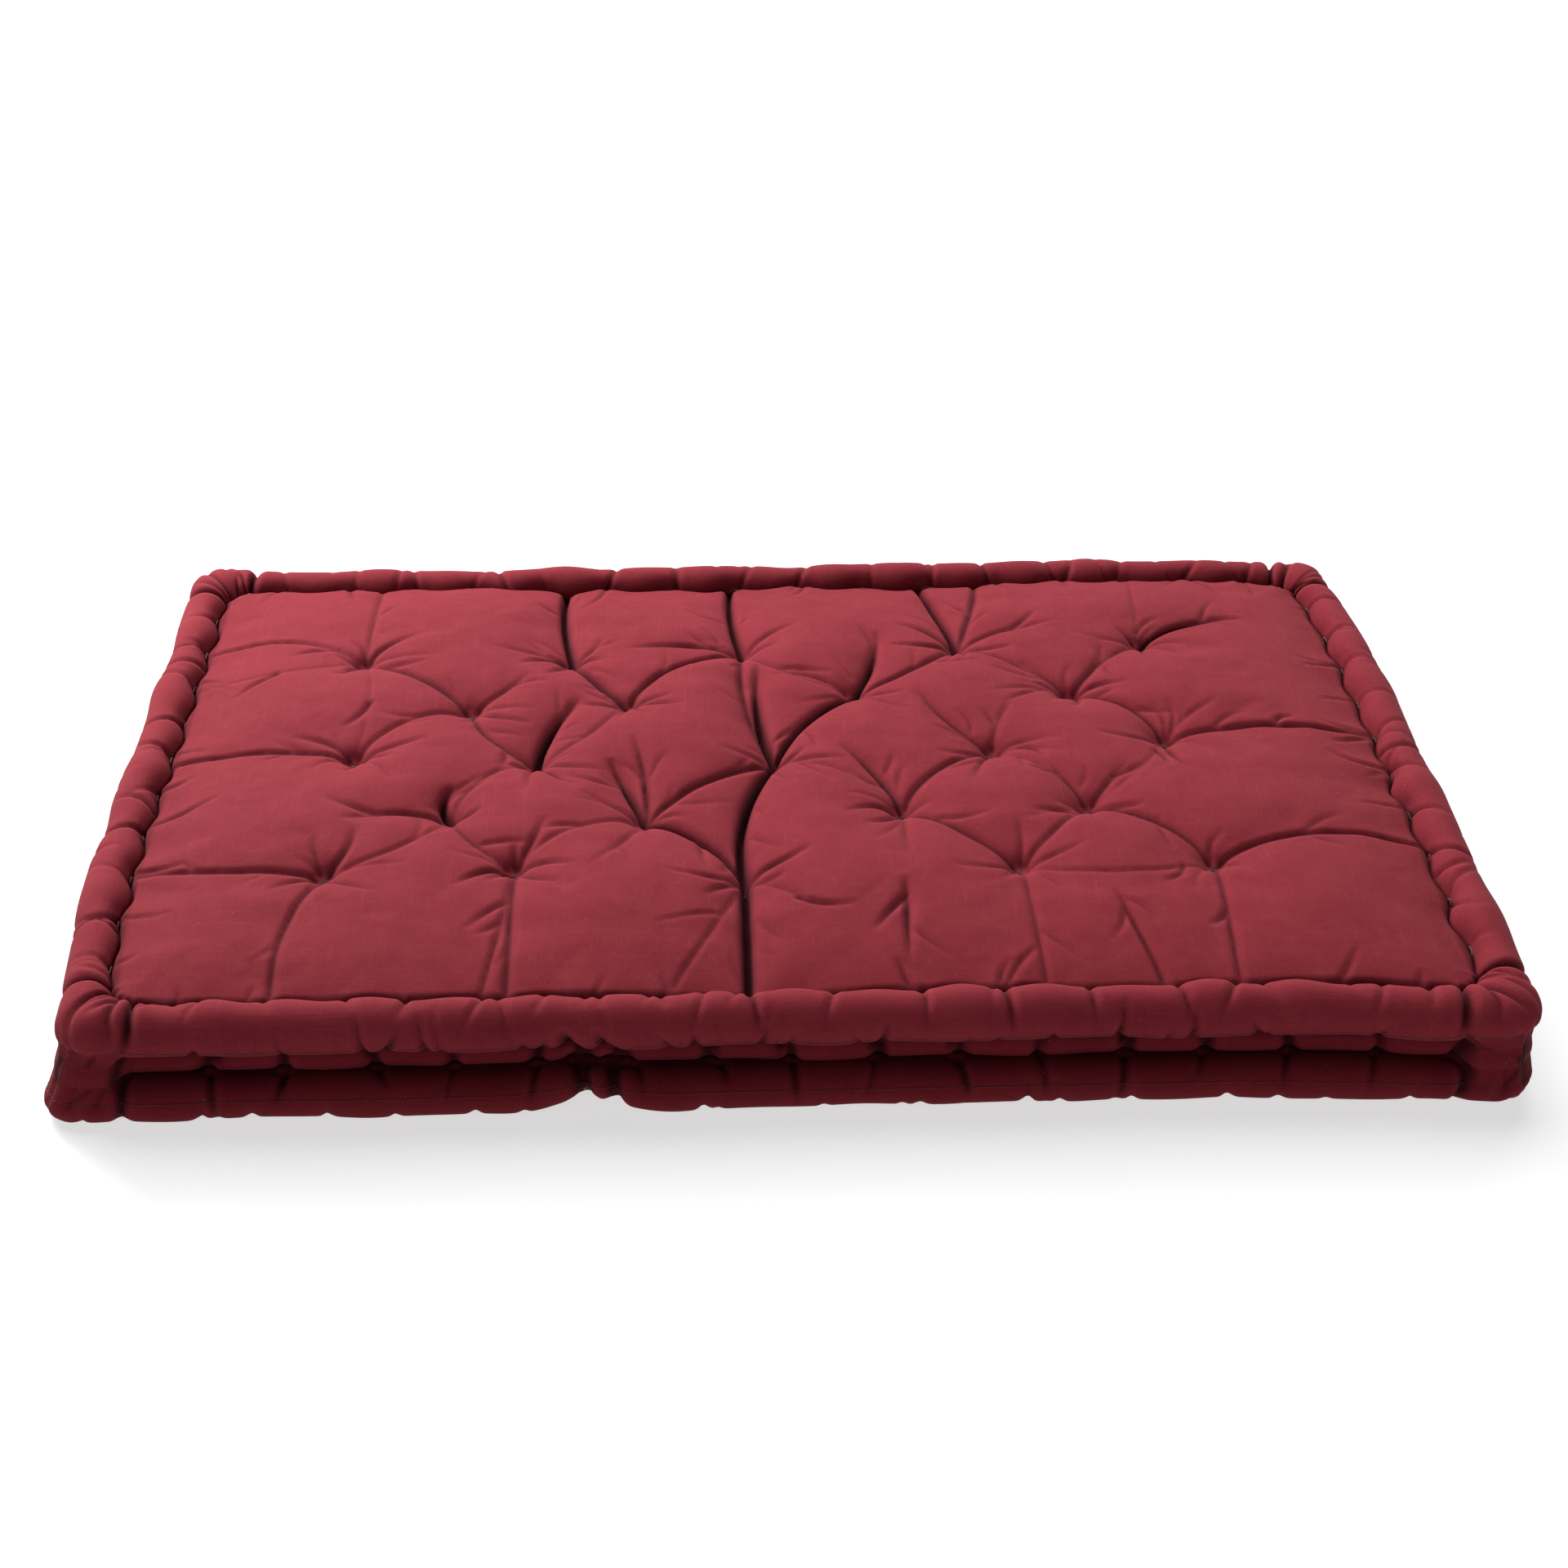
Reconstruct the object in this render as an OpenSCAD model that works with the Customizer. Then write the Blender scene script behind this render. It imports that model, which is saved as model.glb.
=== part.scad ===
// Tufted floor mattress with hand-rolled edges.
// The cover is sewn from a top panel, a bottom panel and four boxing strips. It holds stacked
// cotton batting. Fibre ropes fill the rolled edges, twine stitches form the rolls, and twine
// ties pull the two panels together through the batting.
// +X runs along the long side, +Y towards the back and +Z up. The origin is the centre of the
// underside.

/* [Overall size] */
// Length of the mattress along X
mattress_l = 1200; // [800:10:2000]
// Width of the mattress along Y
mattress_w = 800; // [600:10:1600]
// Height over the top of the rolled edges
edge_h = 104; // [100:1:112]
// Height of the padded top between the tufts
field_h = 110; // [106:1:120]
// Radius of the four corners, seen from above
corner_r = 64; // [62:1:120]

/* [Cover] */
// Thickness of the cotton cloth
cloth_t = 1; // [0.8:0.1:1.2]
// Diameter of the sewing thread in the seams
seam_thread_d = 0.8; // [0.6:0.1:1]

/* [Rolled edges] */
// Diameter of the rolled top edge
top_roll_d = 44; // [42:1:46]
// Diameter of the rolled bottom edge, which the weight flattens
bottom_roll_d = 36; // [34:1:38]
// How far the boxing lies behind the rolls
boxing_inset = 8; // [6:1:10]
// Greatest distance between two stitches of a roll
stitch_pitch = 70; // [60:1:120]
// Diameter of the waxed twine in the roll stitches
stitch_d = 1.4; // [1:0.1:1.5]
// Length of the bar that each stitch leaves in the groove
stitch_bar = 9; // [6:1:14]

/* [Tufting] */
// Distance between two tufts of a row, along X
tuft_pitch_x = 192; // [150:1:200]
// Distance between two rows of five tufts, along Y
tuft_pitch_y = 188; // [150:1:200]
// Depth of the dimple at a tuft in the top panel
top_dimple_depth = 26; // [20:1:30]
// Radius of the mouth of a dimple in the top panel
top_dimple_r = 40; // [30:1:50]
// Depth of the dimple at a tuft in the bottom panel
bottom_dimple_depth = 10; // [8:1:14]
// Radius of the mouth of a dimple in the bottom panel
bottom_dimple_r = 22; // [16:1:30]
// Diameter of the tufting twine
tie_d = 2.4; // [2:0.1:3]
// Diameter of the knot at each end of a tie
knot_d = 6; // [5:0.5:6]

/* [Filling] */
// Number of batting layers
batting_layers = 6; // [6:1:6]

/* [Hidden] */
$fn = 48;

// Colours
cloth_colour = "#8f2a38";
batting_colour = "#e9e2d2";
thread_colour = "#5e1824";

// The sides, counted anticlockwise: outward direction, distance of the outer face from the
// centre, and length of the straight run between two corners.
RIGHT = 0;
BACK = 1;
LEFT = 2;
FRONT = 3;
side_angle = [0, 90, 180, 270];
side_reach = [mattress_l / 2, mattress_w / 2, mattress_l / 2, mattress_w / 2];
side_run = [for (i = [0:3]) 2 * side_reach[(i + 1) % 4] - 2 * corner_r];

// Sections are drawn with x as the distance from the outer face, negative inwards, and y as
// the height above the floor.
top_roll_r = top_roll_d / 2;
bottom_roll_r = bottom_roll_d / 2;
top_roll_centre = [-top_roll_r, edge_h - top_roll_r];
bottom_roll_centre = [-bottom_roll_r, bottom_roll_r];
boxing_h = edge_h - top_roll_d - bottom_roll_d;
fold_gap = 0.6;
boxing_r = boxing_h / 2 - fold_gap;
boxing_centre = [-boxing_inset - boxing_h / 2, bottom_roll_d + boxing_h / 2];

// Angles around the roll centres, where the cloth pieces meet or turn inwards
top_seam_angle = -50;
bottom_seam_angle = 20;
root_angle = 125;
// Half the angle that a seam takes up, at the roll's surface and at a corner
top_seam_half = (seam_thread_d / top_roll_r) * 90 / PI + 0.2;
bottom_seam_half = (seam_thread_d / bottom_roll_r) * 90 / PI + 0.2;
corner_seam_half = 0.5;

groove_gap = 2;
field_edge_r = 14;
top_groove_inset = top_roll_d + groove_gap;
bottom_groove_inset = bottom_roll_d + groove_gap;
clearance = 0.5;

// The stitches run from the groove in the panel to the fold in the boxing
top_stitch_from = [-top_roll_d - groove_gap / 2, top_roll_centre.y + stitch_d / 2];
top_stitch_to = [-31, top_roll_centre.y - 21];
bottom_stitch_from = [-bottom_roll_d - groove_gap / 2, bottom_roll_centre.y - stitch_d / 2];
bottom_stitch_to = [-28, bottom_roll_centre.y + 18];

// Batting
batting_t = (field_h - 2 * cloth_t) / batting_layers;
core_layer = floor((boxing_centre.y - cloth_t) / batting_t);
core_neck = 12;

// Tufting: rows of five and four tufts, staggered
tuft_rows = 5;
tuft_columns = 5;
twine_clearance = 0.2;
dimple_floor_r = 4;

// How far each hand-sewn tuft strays from its place in the grid, row by row from the front
tuft_strays = [
    [[-10, 0], [-40, 5], [-35, -15], [10, -5], [-15, -5]],
    [[-5, -5], [-25, -15], [10, -5], [-15, -5]],
    [[-5, 5], [-30, -10], [-5, -10], [5, 0], [-25, 15]],
    [[0, -5], [-45, 5], [-20, 20], [-5, 10]],
    [[-15, 0], [-5, 0], [-30, 10], [-10, 15], [-20, 15]]
];
function row_tufts(row) = let (count = tuft_columns - row % 2, middle = (tuft_rows - 1) / 2)
    [for (k = [0:count - 1]) tuft_strays[row][k]
        + [(k - (count - 1) / 2) * tuft_pitch_x, (row - middle) * tuft_pitch_y / 2]];
tufts = [for (row = [0:tuft_rows - 1]) each row_tufts(row)];

// Places of the stitches along a straight run
function stitch_places(run) = let (count = ceil(run / stitch_pitch))
    [for (k = [0:count - 1]) ((k + 0.5) / count - 0.5) * run];

// ---- Section helpers ----

// A band of cloth bent round the centre, inwards from radius r, between two angles
module arc_band(r, from, to) {
    steps = 12;
    intersection() {
        difference() {
            circle(r);
            circle(r - cloth_t);
        }
        polygon([[0, 0], for (k = [0:steps]) let (a = from + (to - from) * k / steps)
            2 * r * [cos(a), sin(a)]]);
    }
}

// A straight band of cloth between two points
module line_band(p, q) {
    d = q - p;
    translate(p) rotate(atan2(d.y, d.x)) translate([0, -cloth_t / 2]) square([norm(d), cloth_t]);
}

// A point on the middle of a bent band
function on_band(centre, r, angle) = centre + (r - cloth_t / 2) * [cos(angle), sin(angle)];

module rectangle_between(low, high) {
    translate(low) square(high - low);
}

// ---- Sweeps round the mattress ----

// Puts things on a side: x points outwards from its face and y along it
module on_side(i) {
    rotate(side_angle[i]) translate([side_reach[i], 0, 0]) children();
}

module straight_run(i) {
    on_side(i) rotate([90, 0, 0]) linear_extrude(side_run[i], center = true) children();
}

// Part of the corner after side i, between two angles measured from that side
module corner(i, from, to) {
    on_side(i) translate([-corner_r, side_run[i] / 2, 0]) rotate(from)
        rotate_extrude(angle = to - from) translate([corner_r, 0]) children();
}

// A section swept along one side and half of each corner beside it
module side_sweep(i, seam_half = 0) {
    straight_run(i) children();
    on_side(i) for (flip = [0, 1]) mirror([0, flip, 0]) translate([-corner_r, side_run[i] / 2, 0])
        rotate_extrude(angle = 45 - seam_half) translate([corner_r, 0]) children();
}

// A section swept all the way round
module ring_sweep() {
    for (i = [0:3]) {
        straight_run(i) children();
        corner(i, 0, 90) children();
    }
}

// The outline of the mattress, drawn in by inset
module outline(inset) {
    r = corner_r - inset;
    l = mattress_l - 2 * inset;
    w = mattress_w - 2 * inset;
    square([l - 2 * r, w], center = true);
    square([l, w - 2 * r], center = true);
    for (x = [-1, 1], y = [-1, 1]) translate([x * (l / 2 - r), y * (w / 2 - r)]) circle(r);
}

// ---- Cover ----

module dimple_cones(floor_z, mouth_z, mouth_r, grow = 0) {
    h = abs(mouth_z - floor_z);
    up = mouth_z > floor_z;
    for (t = tufts) translate([t.x, t.y, min(floor_z, mouth_z)])
        cylinder(h = h, r1 = (up ? dimple_floor_r : mouth_r) + grow,
            r2 = (up ? mouth_r : dimple_floor_r) + grow);
}

module tie_holes(grow = twine_clearance) {
    for (t = tufts) translate([t.x, t.y, -1]) cylinder(h = field_h + 2, d = tie_d + 2 * grow);
}

module stitch_leg(from, to, d) {
    run = to - from;
    translate([from.x, 0, from.y]) rotate([0, atan2(run.x, run.y), 0]) cylinder(h = norm(run), d = d);
}

module stitch_holes(from, to) {
    for (i = [0:3]) on_side(i) for (y = stitch_places(side_run[i])) translate([0, y, 0])
        stitch_leg(from, to, stitch_d + 2 * twine_clearance);
}

module top_rim_section() {
    translate(top_roll_centre) arc_band(top_roll_r, top_seam_angle + top_seam_half, 180);
    // floor of the groove, its far wall and the rounded edge of the field
    groove_y = top_roll_centre.y;
    rectangle_between([-top_groove_inset - cloth_t, groove_y - cloth_t],
        [-top_roll_d + cloth_t, groove_y]);
    rectangle_between([-top_groove_inset - cloth_t, groove_y],
        [-top_groove_inset, field_h - field_edge_r]);
    translate([-top_groove_inset - field_edge_r, field_h - field_edge_r]) arc_band(field_edge_r, 0, 90);
}

module bottom_rim_section() {
    translate(bottom_roll_centre)
        arc_band(bottom_roll_r, -180, bottom_seam_angle - bottom_seam_half);
    groove_y = bottom_roll_centre.y;
    rectangle_between([-bottom_groove_inset - cloth_t, groove_y],
        [-bottom_roll_d + cloth_t, groove_y + cloth_t]);
    rectangle_between([-bottom_groove_inset - cloth_t, field_edge_r],
        [-bottom_groove_inset, groove_y]);
    translate([-bottom_groove_inset - field_edge_r, field_edge_r]) arc_band(field_edge_r, -90, 0);
}

module boxing_section() {
    translate(top_roll_centre) arc_band(top_roll_r, -root_angle, top_seam_angle - top_seam_half);
    line_band(on_band(top_roll_centre, top_roll_r, -root_angle + 1),
        on_band(boxing_centre, boxing_r, root_angle - 1));
    translate(boxing_centre) arc_band(boxing_r, -root_angle, root_angle);
    line_band(on_band(boxing_centre, boxing_r, -root_angle + 1),
        on_band(bottom_roll_centre, bottom_roll_r, root_angle - 1));
    translate(bottom_roll_centre)
        arc_band(bottom_roll_r, bottom_seam_angle + bottom_seam_half, root_angle);
}

module top_panel() {
    floor_z = field_h - top_dimple_depth;
    color(cloth_colour) difference() {
        union() {
            ring_sweep() top_rim_section();
            translate([0, 0, field_h - cloth_t]) linear_extrude(cloth_t)
                outline(top_groove_inset + field_edge_r);
            dimple_cones(floor_z - cloth_t, field_h - cloth_t / 2, top_dimple_r, cloth_t);
        }
        dimple_cones(floor_z, field_h + 0.01, top_dimple_r);
        tie_holes();
        stitch_holes(top_stitch_from, top_stitch_to);
    }
}

module bottom_panel() {
    color(cloth_colour) difference() {
        union() {
            ring_sweep() bottom_rim_section();
            linear_extrude(cloth_t) outline(bottom_groove_inset + field_edge_r);
            dimple_cones(bottom_dimple_depth + cloth_t, cloth_t / 2, bottom_dimple_r, cloth_t);
        }
        dimple_cones(bottom_dimple_depth, -0.01, bottom_dimple_r);
        tie_holes();
        stitch_holes(bottom_stitch_from, bottom_stitch_to);
    }
}

module boxing(i) {
    color(cloth_colour) difference() {
        side_sweep(i, corner_seam_half) boxing_section();
        stitch_holes(top_stitch_from, top_stitch_to);
        stitch_holes(bottom_stitch_from, bottom_stitch_to);
    }
}

// ---- Filling ----

// A fibre rope: round, but flat along the line of the stitches at its root
module rope_section(centre, r, from, to) {
    run = to - from;
    reach = abs(run.x * (centre.y - from.y) - run.y * (centre.x - from.x)) / norm(run);
    flat = reach - stitch_d / 2 - clearance;
    towards_root = atan2(from.y + to.y - 2 * centre.y, from.x + to.x - 2 * centre.x);
    translate(centre) intersection() {
        circle(r);
        rotate(atan2(run.y, run.x) + (towards_root > 0 ? -90 : 90)) translate([-flat, -r])
            square([flat + r, 2 * r]);
    }
}

module top_roll_filling(i) {
    color(batting_colour) side_sweep(i)
        rope_section(top_roll_centre, top_roll_r - cloth_t - clearance, top_stitch_from, top_stitch_to);
}

module bottom_roll_filling(i) {
    color(batting_colour) side_sweep(i)
        rope_section(bottom_roll_centre, bottom_roll_r - cloth_t - clearance,
            bottom_stitch_from, bottom_stitch_to);
}

// A layer of batting. The one level with the boxing has a rim that fills it.
module batting_layer(k) {
    low = cloth_t + k * batting_t;
    high = low + batting_t;
    inset = (high > top_roll_centre.y - top_roll_r ? top_groove_inset : bottom_groove_inset)
        + cloth_t + clearance;
    color(batting_colour) difference() {
        union() {
            translate([0, 0, low]) linear_extrude(batting_t) outline(inset);
            if (k == core_layer) ring_sweep() {
                translate(boxing_centre) circle(boxing_r - cloth_t - clearance);
                rectangle_between(boxing_centre - [core_layer_reach(inset), core_neck / 2],
                    boxing_centre + [0, core_neck / 2]);
            }
        }
        if (high > field_h - top_dimple_depth - 2 * cloth_t)
            dimple_cones(field_h - top_dimple_depth - 2 * cloth_t, field_h - cloth_t,
                top_dimple_r, 2 * cloth_t);
        if (low < bottom_dimple_depth + 2 * cloth_t)
            dimple_cones(bottom_dimple_depth + 2 * cloth_t, cloth_t, bottom_dimple_r, 2 * cloth_t);
        tie_holes();
        if (high > field_h - cloth_t - field_edge_r) field_edge_trim(inset, field_h - cloth_t, high);
    }
}

// From the boxing's centre line in to the body of the layer
function core_layer_reach(inset) = inset + boxing_centre.x + 1;

// Rounds the rim of the top layer, to lie inside the rounded edge of the top panel
module field_edge_trim(inset, top, high) {
    r = field_edge_r;
    ring_sweep() translate([-inset - r, top - r]) difference() {
        square([r + 1, high - top + r + 1]);
        circle(r);
    }
}

// ---- Twine and thread ----

// One tie: a leg through the mattress and a knot at each end
module tie() {
    low = bottom_dimple_depth - knot_d / 2;
    high = field_h - top_dimple_depth + knot_d / 2;
    translate([0, 0, low]) cylinder(h = high - low, d = tie_d);
    for (z = [low, high]) translate([0, 0, z]) sphere(d = knot_d);
}

module tuft_ties(row) {
    color(thread_colour) for (t = row_tufts(row)) translate([t.x, t.y, 0]) tie();
}

// One roll stitch: a bar in the groove and a leg through the root of the roll
module roll_stitch(from, to) {
    stitch_leg(from, to, stitch_d);
    translate([from.x, 0, from.y]) rotate([90, 0, 0])
        cylinder(h = stitch_bar, d = stitch_d, center = true);
}

module roll_stitches(from, to) {
    color(thread_colour) for (i = [0:3]) on_side(i) for (y = stitch_places(side_run[i]))
        translate([0, y, 0]) roll_stitch(from, to);
}

module seam_thread(centre, r, angle) {
    color(thread_colour) ring_sweep() translate(on_band(centre, r, angle)) circle(d = seam_thread_d);
}

// The four upright seams that join the boxing strips at the corners
module corner_seam_threads() {
    color(thread_colour) for (i = [0:3])
        corner(i, 45 - corner_seam_half, 45 + corner_seam_half) boxing_section();
}

top_panel();
bottom_panel();
boxing(FRONT);  // boxing_front
boxing(BACK);  // boxing_back
boxing(LEFT);  // boxing_left
boxing(RIGHT);  // boxing_right
top_roll_filling(FRONT);  // top_roll_filling_front
top_roll_filling(BACK);  // top_roll_filling_back
top_roll_filling(LEFT);  // top_roll_filling_left
top_roll_filling(RIGHT);  // top_roll_filling_right
bottom_roll_filling(FRONT);  // bottom_roll_filling_front
bottom_roll_filling(BACK);  // bottom_roll_filling_back
bottom_roll_filling(LEFT);  // bottom_roll_filling_left
bottom_roll_filling(RIGHT);  // bottom_roll_filling_right
for (k = [0:batting_layers - 1])
    batting_layer(k);
for (row = [0:tuft_rows - 1])
    tuft_ties(row);
roll_stitches(top_stitch_from, top_stitch_to);  // top_roll_stitches
roll_stitches(bottom_stitch_from, bottom_stitch_to);  // bottom_roll_stitches
seam_thread(top_roll_centre, top_roll_r, top_seam_angle);  // top_seam_thread
seam_thread(bottom_roll_centre, bottom_roll_r, bottom_seam_angle);  // bottom_seam_thread
corner_seam_threads();
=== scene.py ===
import math

import bpy
import numpy as np
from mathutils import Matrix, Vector


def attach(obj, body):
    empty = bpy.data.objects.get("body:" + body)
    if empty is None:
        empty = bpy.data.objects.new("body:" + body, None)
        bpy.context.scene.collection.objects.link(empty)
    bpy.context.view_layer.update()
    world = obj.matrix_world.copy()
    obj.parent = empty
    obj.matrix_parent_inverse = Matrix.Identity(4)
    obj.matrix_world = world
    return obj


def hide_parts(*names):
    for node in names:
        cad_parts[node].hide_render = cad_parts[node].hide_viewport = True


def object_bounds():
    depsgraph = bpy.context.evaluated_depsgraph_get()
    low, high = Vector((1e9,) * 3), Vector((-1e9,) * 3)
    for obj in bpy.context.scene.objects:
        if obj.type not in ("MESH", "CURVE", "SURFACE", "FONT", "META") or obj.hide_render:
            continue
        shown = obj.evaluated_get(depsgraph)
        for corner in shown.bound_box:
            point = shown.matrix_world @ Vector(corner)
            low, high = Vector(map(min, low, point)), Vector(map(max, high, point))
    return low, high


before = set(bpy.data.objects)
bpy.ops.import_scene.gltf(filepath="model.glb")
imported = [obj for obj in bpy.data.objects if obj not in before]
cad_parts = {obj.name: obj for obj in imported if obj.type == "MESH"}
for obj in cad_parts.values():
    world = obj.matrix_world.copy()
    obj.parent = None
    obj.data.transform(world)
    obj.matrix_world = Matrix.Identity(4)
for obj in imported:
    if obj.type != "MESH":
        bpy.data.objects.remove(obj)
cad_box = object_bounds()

# A tufted floor mattress. The cover is worked out as three sheets of cloth on regular grids: the
# padded top between the grooves, the rolled rim with its boxing, and the underside. Each sheet
# starts from a relief, in which cloth swells between the stitches and creases that hold it down,
# and Blender's Cloth then lets it settle. All lengths are in metres.

# ---- Measures ----

HALF_X, HALF_Y = cad_box[1].x, cad_box[1].y
CORNER = 0.064  # the straight runs end this far from the outer faces
CORNER_RUN = 0.085  # length given to a corner, measured along the rim
TOP_ROLL_R = 0.022
BOTTOM_ROLL_R = 0.018
BOXING_R = 0.0135
TOP_ROLL_Z = 0.082
BOTTOM_ROLL_Z = 0.018
BOXING_Z = 0.048
BOXING_INSET = 0.0335
GROOVE_INSET = 0.0448  # where the padded top meets the rolled edge
UNDER_INSET = 0.038
TUFT_Z = 0.0960
CROWN_Z = 0.1175

SETTLE_FRAMES = 12
SETTLE_CAP = 0.006  # the cloth moves no further than this as it settles

# Spacing of the grids, and which of their points the cloth is settled on: every third or second
FIELD_STEP = 0.0020
FIELD_EVERY = 3
RIM_STEP = 0.0023
RIM_EVERY = 2
UNDER_STEP = 0.0050

RUN_X = 2 * (HALF_X - CORNER)
RUN_Y = 2 * (HALF_Y - CORNER)
# Where each side starts along the rim: front, right, back and left, anticlockwise from above
SIDES = ("front", "right", "back", "left")
SIDE_RUN = (RUN_X, RUN_Y, RUN_X, RUN_Y)
SIDE_START = [sum(SIDE_RUN[:i]) + i * CORNER_RUN for i in range(4)]
RIM_LENGTH = sum(SIDE_RUN) + 4 * CORNER_RUN
CORNER_COLUMNS = 46
FACING = np.array([(0, -1), (1, 0), (0, 1), (-1, 0)], float)  # outwards from each side
TRAVEL = np.array([(1, 0), (0, 1), (-1, 0), (0, -1)], float)  # and along it


# ---- Places taken from the CAD nodes ----

def node_points(node):
    return np.array([v.co[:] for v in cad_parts[node].data.vertices])


def groups(values, gap):
    """Centres of the groups that sorted values fall into where they are a gap apart."""
    values = np.sort(values)
    cuts = np.where(np.diff(values) > gap)[0] + 1
    return [0.5 * (g[0] + g[-1]) for g in np.split(values, cuts)]


def find_tufts():
    """Plan position of every tuft: rows A, at the back, to E, numbered from the left."""
    tufts = {}
    for row, letter in enumerate("EDCBA", 1):
        points = node_points(f"tuft_ties_row_{row}")
        for k, x in enumerate(groups(points[:, 0], 0.05), 1):
            near = points[abs(points[:, 0] - x) < 0.02]
            tufts[f"{letter}{k}"] = np.array([x, 0.5 * (near[:, 1].min() + near[:, 1].max())])
    return tufts


def find_stitches(node):
    """Places of a roll's stitches, measured along the rim."""
    points = node_points(node)
    x, y = points[:, 0], points[:, 1]
    near_front_back = HALF_Y - abs(y) < CORNER
    places = []
    for side, along, chosen in (
            (0, x, near_front_back & (y < 0)), (1, y, ~near_front_back & (x > 0)),
            (2, -x, near_front_back & (y > 0)), (3, -y, ~near_front_back & (x < 0))):
        start = SIDE_START[side] + SIDE_RUN[side] / 2
        places += [start + a for a in groups(along[chosen], 0.02)]
    return np.array(places)


TUFTS = find_tufts()
TOP_STITCHES = find_stitches("top_roll_stitches")

# ---- Creases ----

# The main creases of the padded top: from, to, bow to the left of the way there in mm, and
# strength. A place is a tuft's name or its plan position in mm.
FIELD_CREASES = [
    ("A1", (-554, 225), -24, 0.35), ("A1", (-400, 354), 0, 0.35), ("A1", "B1", 8, 0.55),
    ("A1", (-554, 150), 6, 0.15), ("A1", "C1", 10, 0.15),
    ("C1", (-554, 15), -8, 0.5), ("C1", "B1", 14, 0.35), ("B1", "C2", -15, 0.5),
    ("B1", (-235, 150), -4, 0.4), ("B1", (-350, 62), 0, 0.3),
    ("D1", (-390, -115), -8, 0.5), ("D1", (-290, -55), 10, 0.9), ("D1", "C2", 15, 0.3),
    ("D1", "E2", -12, 0.4),
    ("E1", (-554, -175), 0, 0.5), ("E1", (-420, -354), -10, 0.45), ("E1", "D1", -18, 0.3),
    ("E2", (-230, -354), 0, 0.5), ("E2", (-250, -354), 3, 0.35),
    ("A2", (-210, 354), 5, 0.9), ("A2", "B2", -3, 0.75), ("A2", (-275, 205), 0, 0.35),
    ("B2", "A3", 18, 0.55), ("C2", (-185, 105), 8, 0.95), ("B2", "C2", 12, 0.3),
    ("B2", (-175, 150), 0, 0.35),
    ("D2", (-155, -15), 0, 0.85), ("D2", (-135, 25), -5, 0.6), ("D2", "E3", 12, 0.85),
    ("D2", "C3", 10, 0.55), ("D2", (-170, -200), 6, 0.3), ("D2", "E2", -14, 0.3),
    ("A3", (-40, 354), 5, 0.85), ("A3", (-145, 200), -12, 0.55), ("C3", (-15, 165), 8, 1.0),
    ("A3", "C3", -12, 0.55),
    ("B3", "C3", -10, 0.8), ("B3", (105, 230), -6, 0.8), ("B3", "A4", -8, 0.5),
    ("B3", (20, 150), 0, 0.35), ("A3", "B3", -14, 0.3),
    ("A4", (155, 354), 0, 0.85), ("A4", (215, 354), -5, 0.55), ("A4", (290, 240), 8, 0.4),
    ("C3", "E3", -15, 1.0), ("C3", "D3", 14, 0.25), ("E3", (-35, -354), 0, 1.0),
    ("E3", (-100, -354), 4, 0.25), ("E3", (30, -270), 4, 0.3),
    ("D3", (55, 5), -6, 0.65), ("D3", "E4", 3, 0.5), ("D3", "C4", 12, 0.45),
    ("D3", (105, -190), 0, 0.35), ((100, -225), (95, -340), 0, 0.5),
    ("C4", (225, 80), 5, 0.35), ("C4", (135, 105), 8, 0.5), ("C4", "D4", 8, 0.3),
    ("C4", (262, -20), 6, 0.3), ("A4", "B4", 5, 0.35),
    ("A5", (480, 250), 15, 0.7), ("A5", "B4", -6, 0.4), ("A5", (375, 354), 0, 0.2),
    ("A5", (300, 215), 5, 0.25), ("B4", (240, 160), 0, 0.5), ("B4", (335, 185), 0, 0.5),
    ("B4", "C5", 15, 0.55), ("B4", (205, 95), -8, 0.3),
    ("C5", (554, 30), 10, 0.5), ("C5", (420, 75), 5, 0.3), ("C5", "D4", 12, 0.2),
    ("D4", (240, -25), 0, 0.45), ("D4", (315, -40), 0, 0.4), ("D4", "E4", 0, 0.35),
    ("D4", "E5", 14, 0.5), ("E4", (205, -354), 0, 0.35),
    ("E5", (554, -160), 22, 0.5), ("E5", (360, -354), 0, 0.4), ("E5", "E4", 22, 0.25),
    ((275, -240), (300, -354), 0, 0.45),
]


def place(p):
    return TUFTS[p] if isinstance(p, str) else np.array(p) / 1000


LINE_STEP = 0.002
HOLD_STEP = 0.0029  # the grid step that the holding strengths are given for


def arc_points(start, end, bow):
    """Points along a bowed line, and how far along it each one is, from 0 to 1."""
    way = end - start
    length = np.hypot(*way)
    t = np.linspace(0, 1, max(4, int(length / LINE_STEP)) + 1)
    left = np.array([-way[1], way[0]]) / length
    return start + np.outer(t, way) + np.outer(4 * t * (1 - t) * bow, left), t


def neighbours(padded):
    """The four neighbours of every point of a grid that is padded by one point all round."""
    return padded[:-2, 1:-1], padded[2:, 1:-1], padded[1:-1, :-2], padded[1:-1, 2:]


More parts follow.
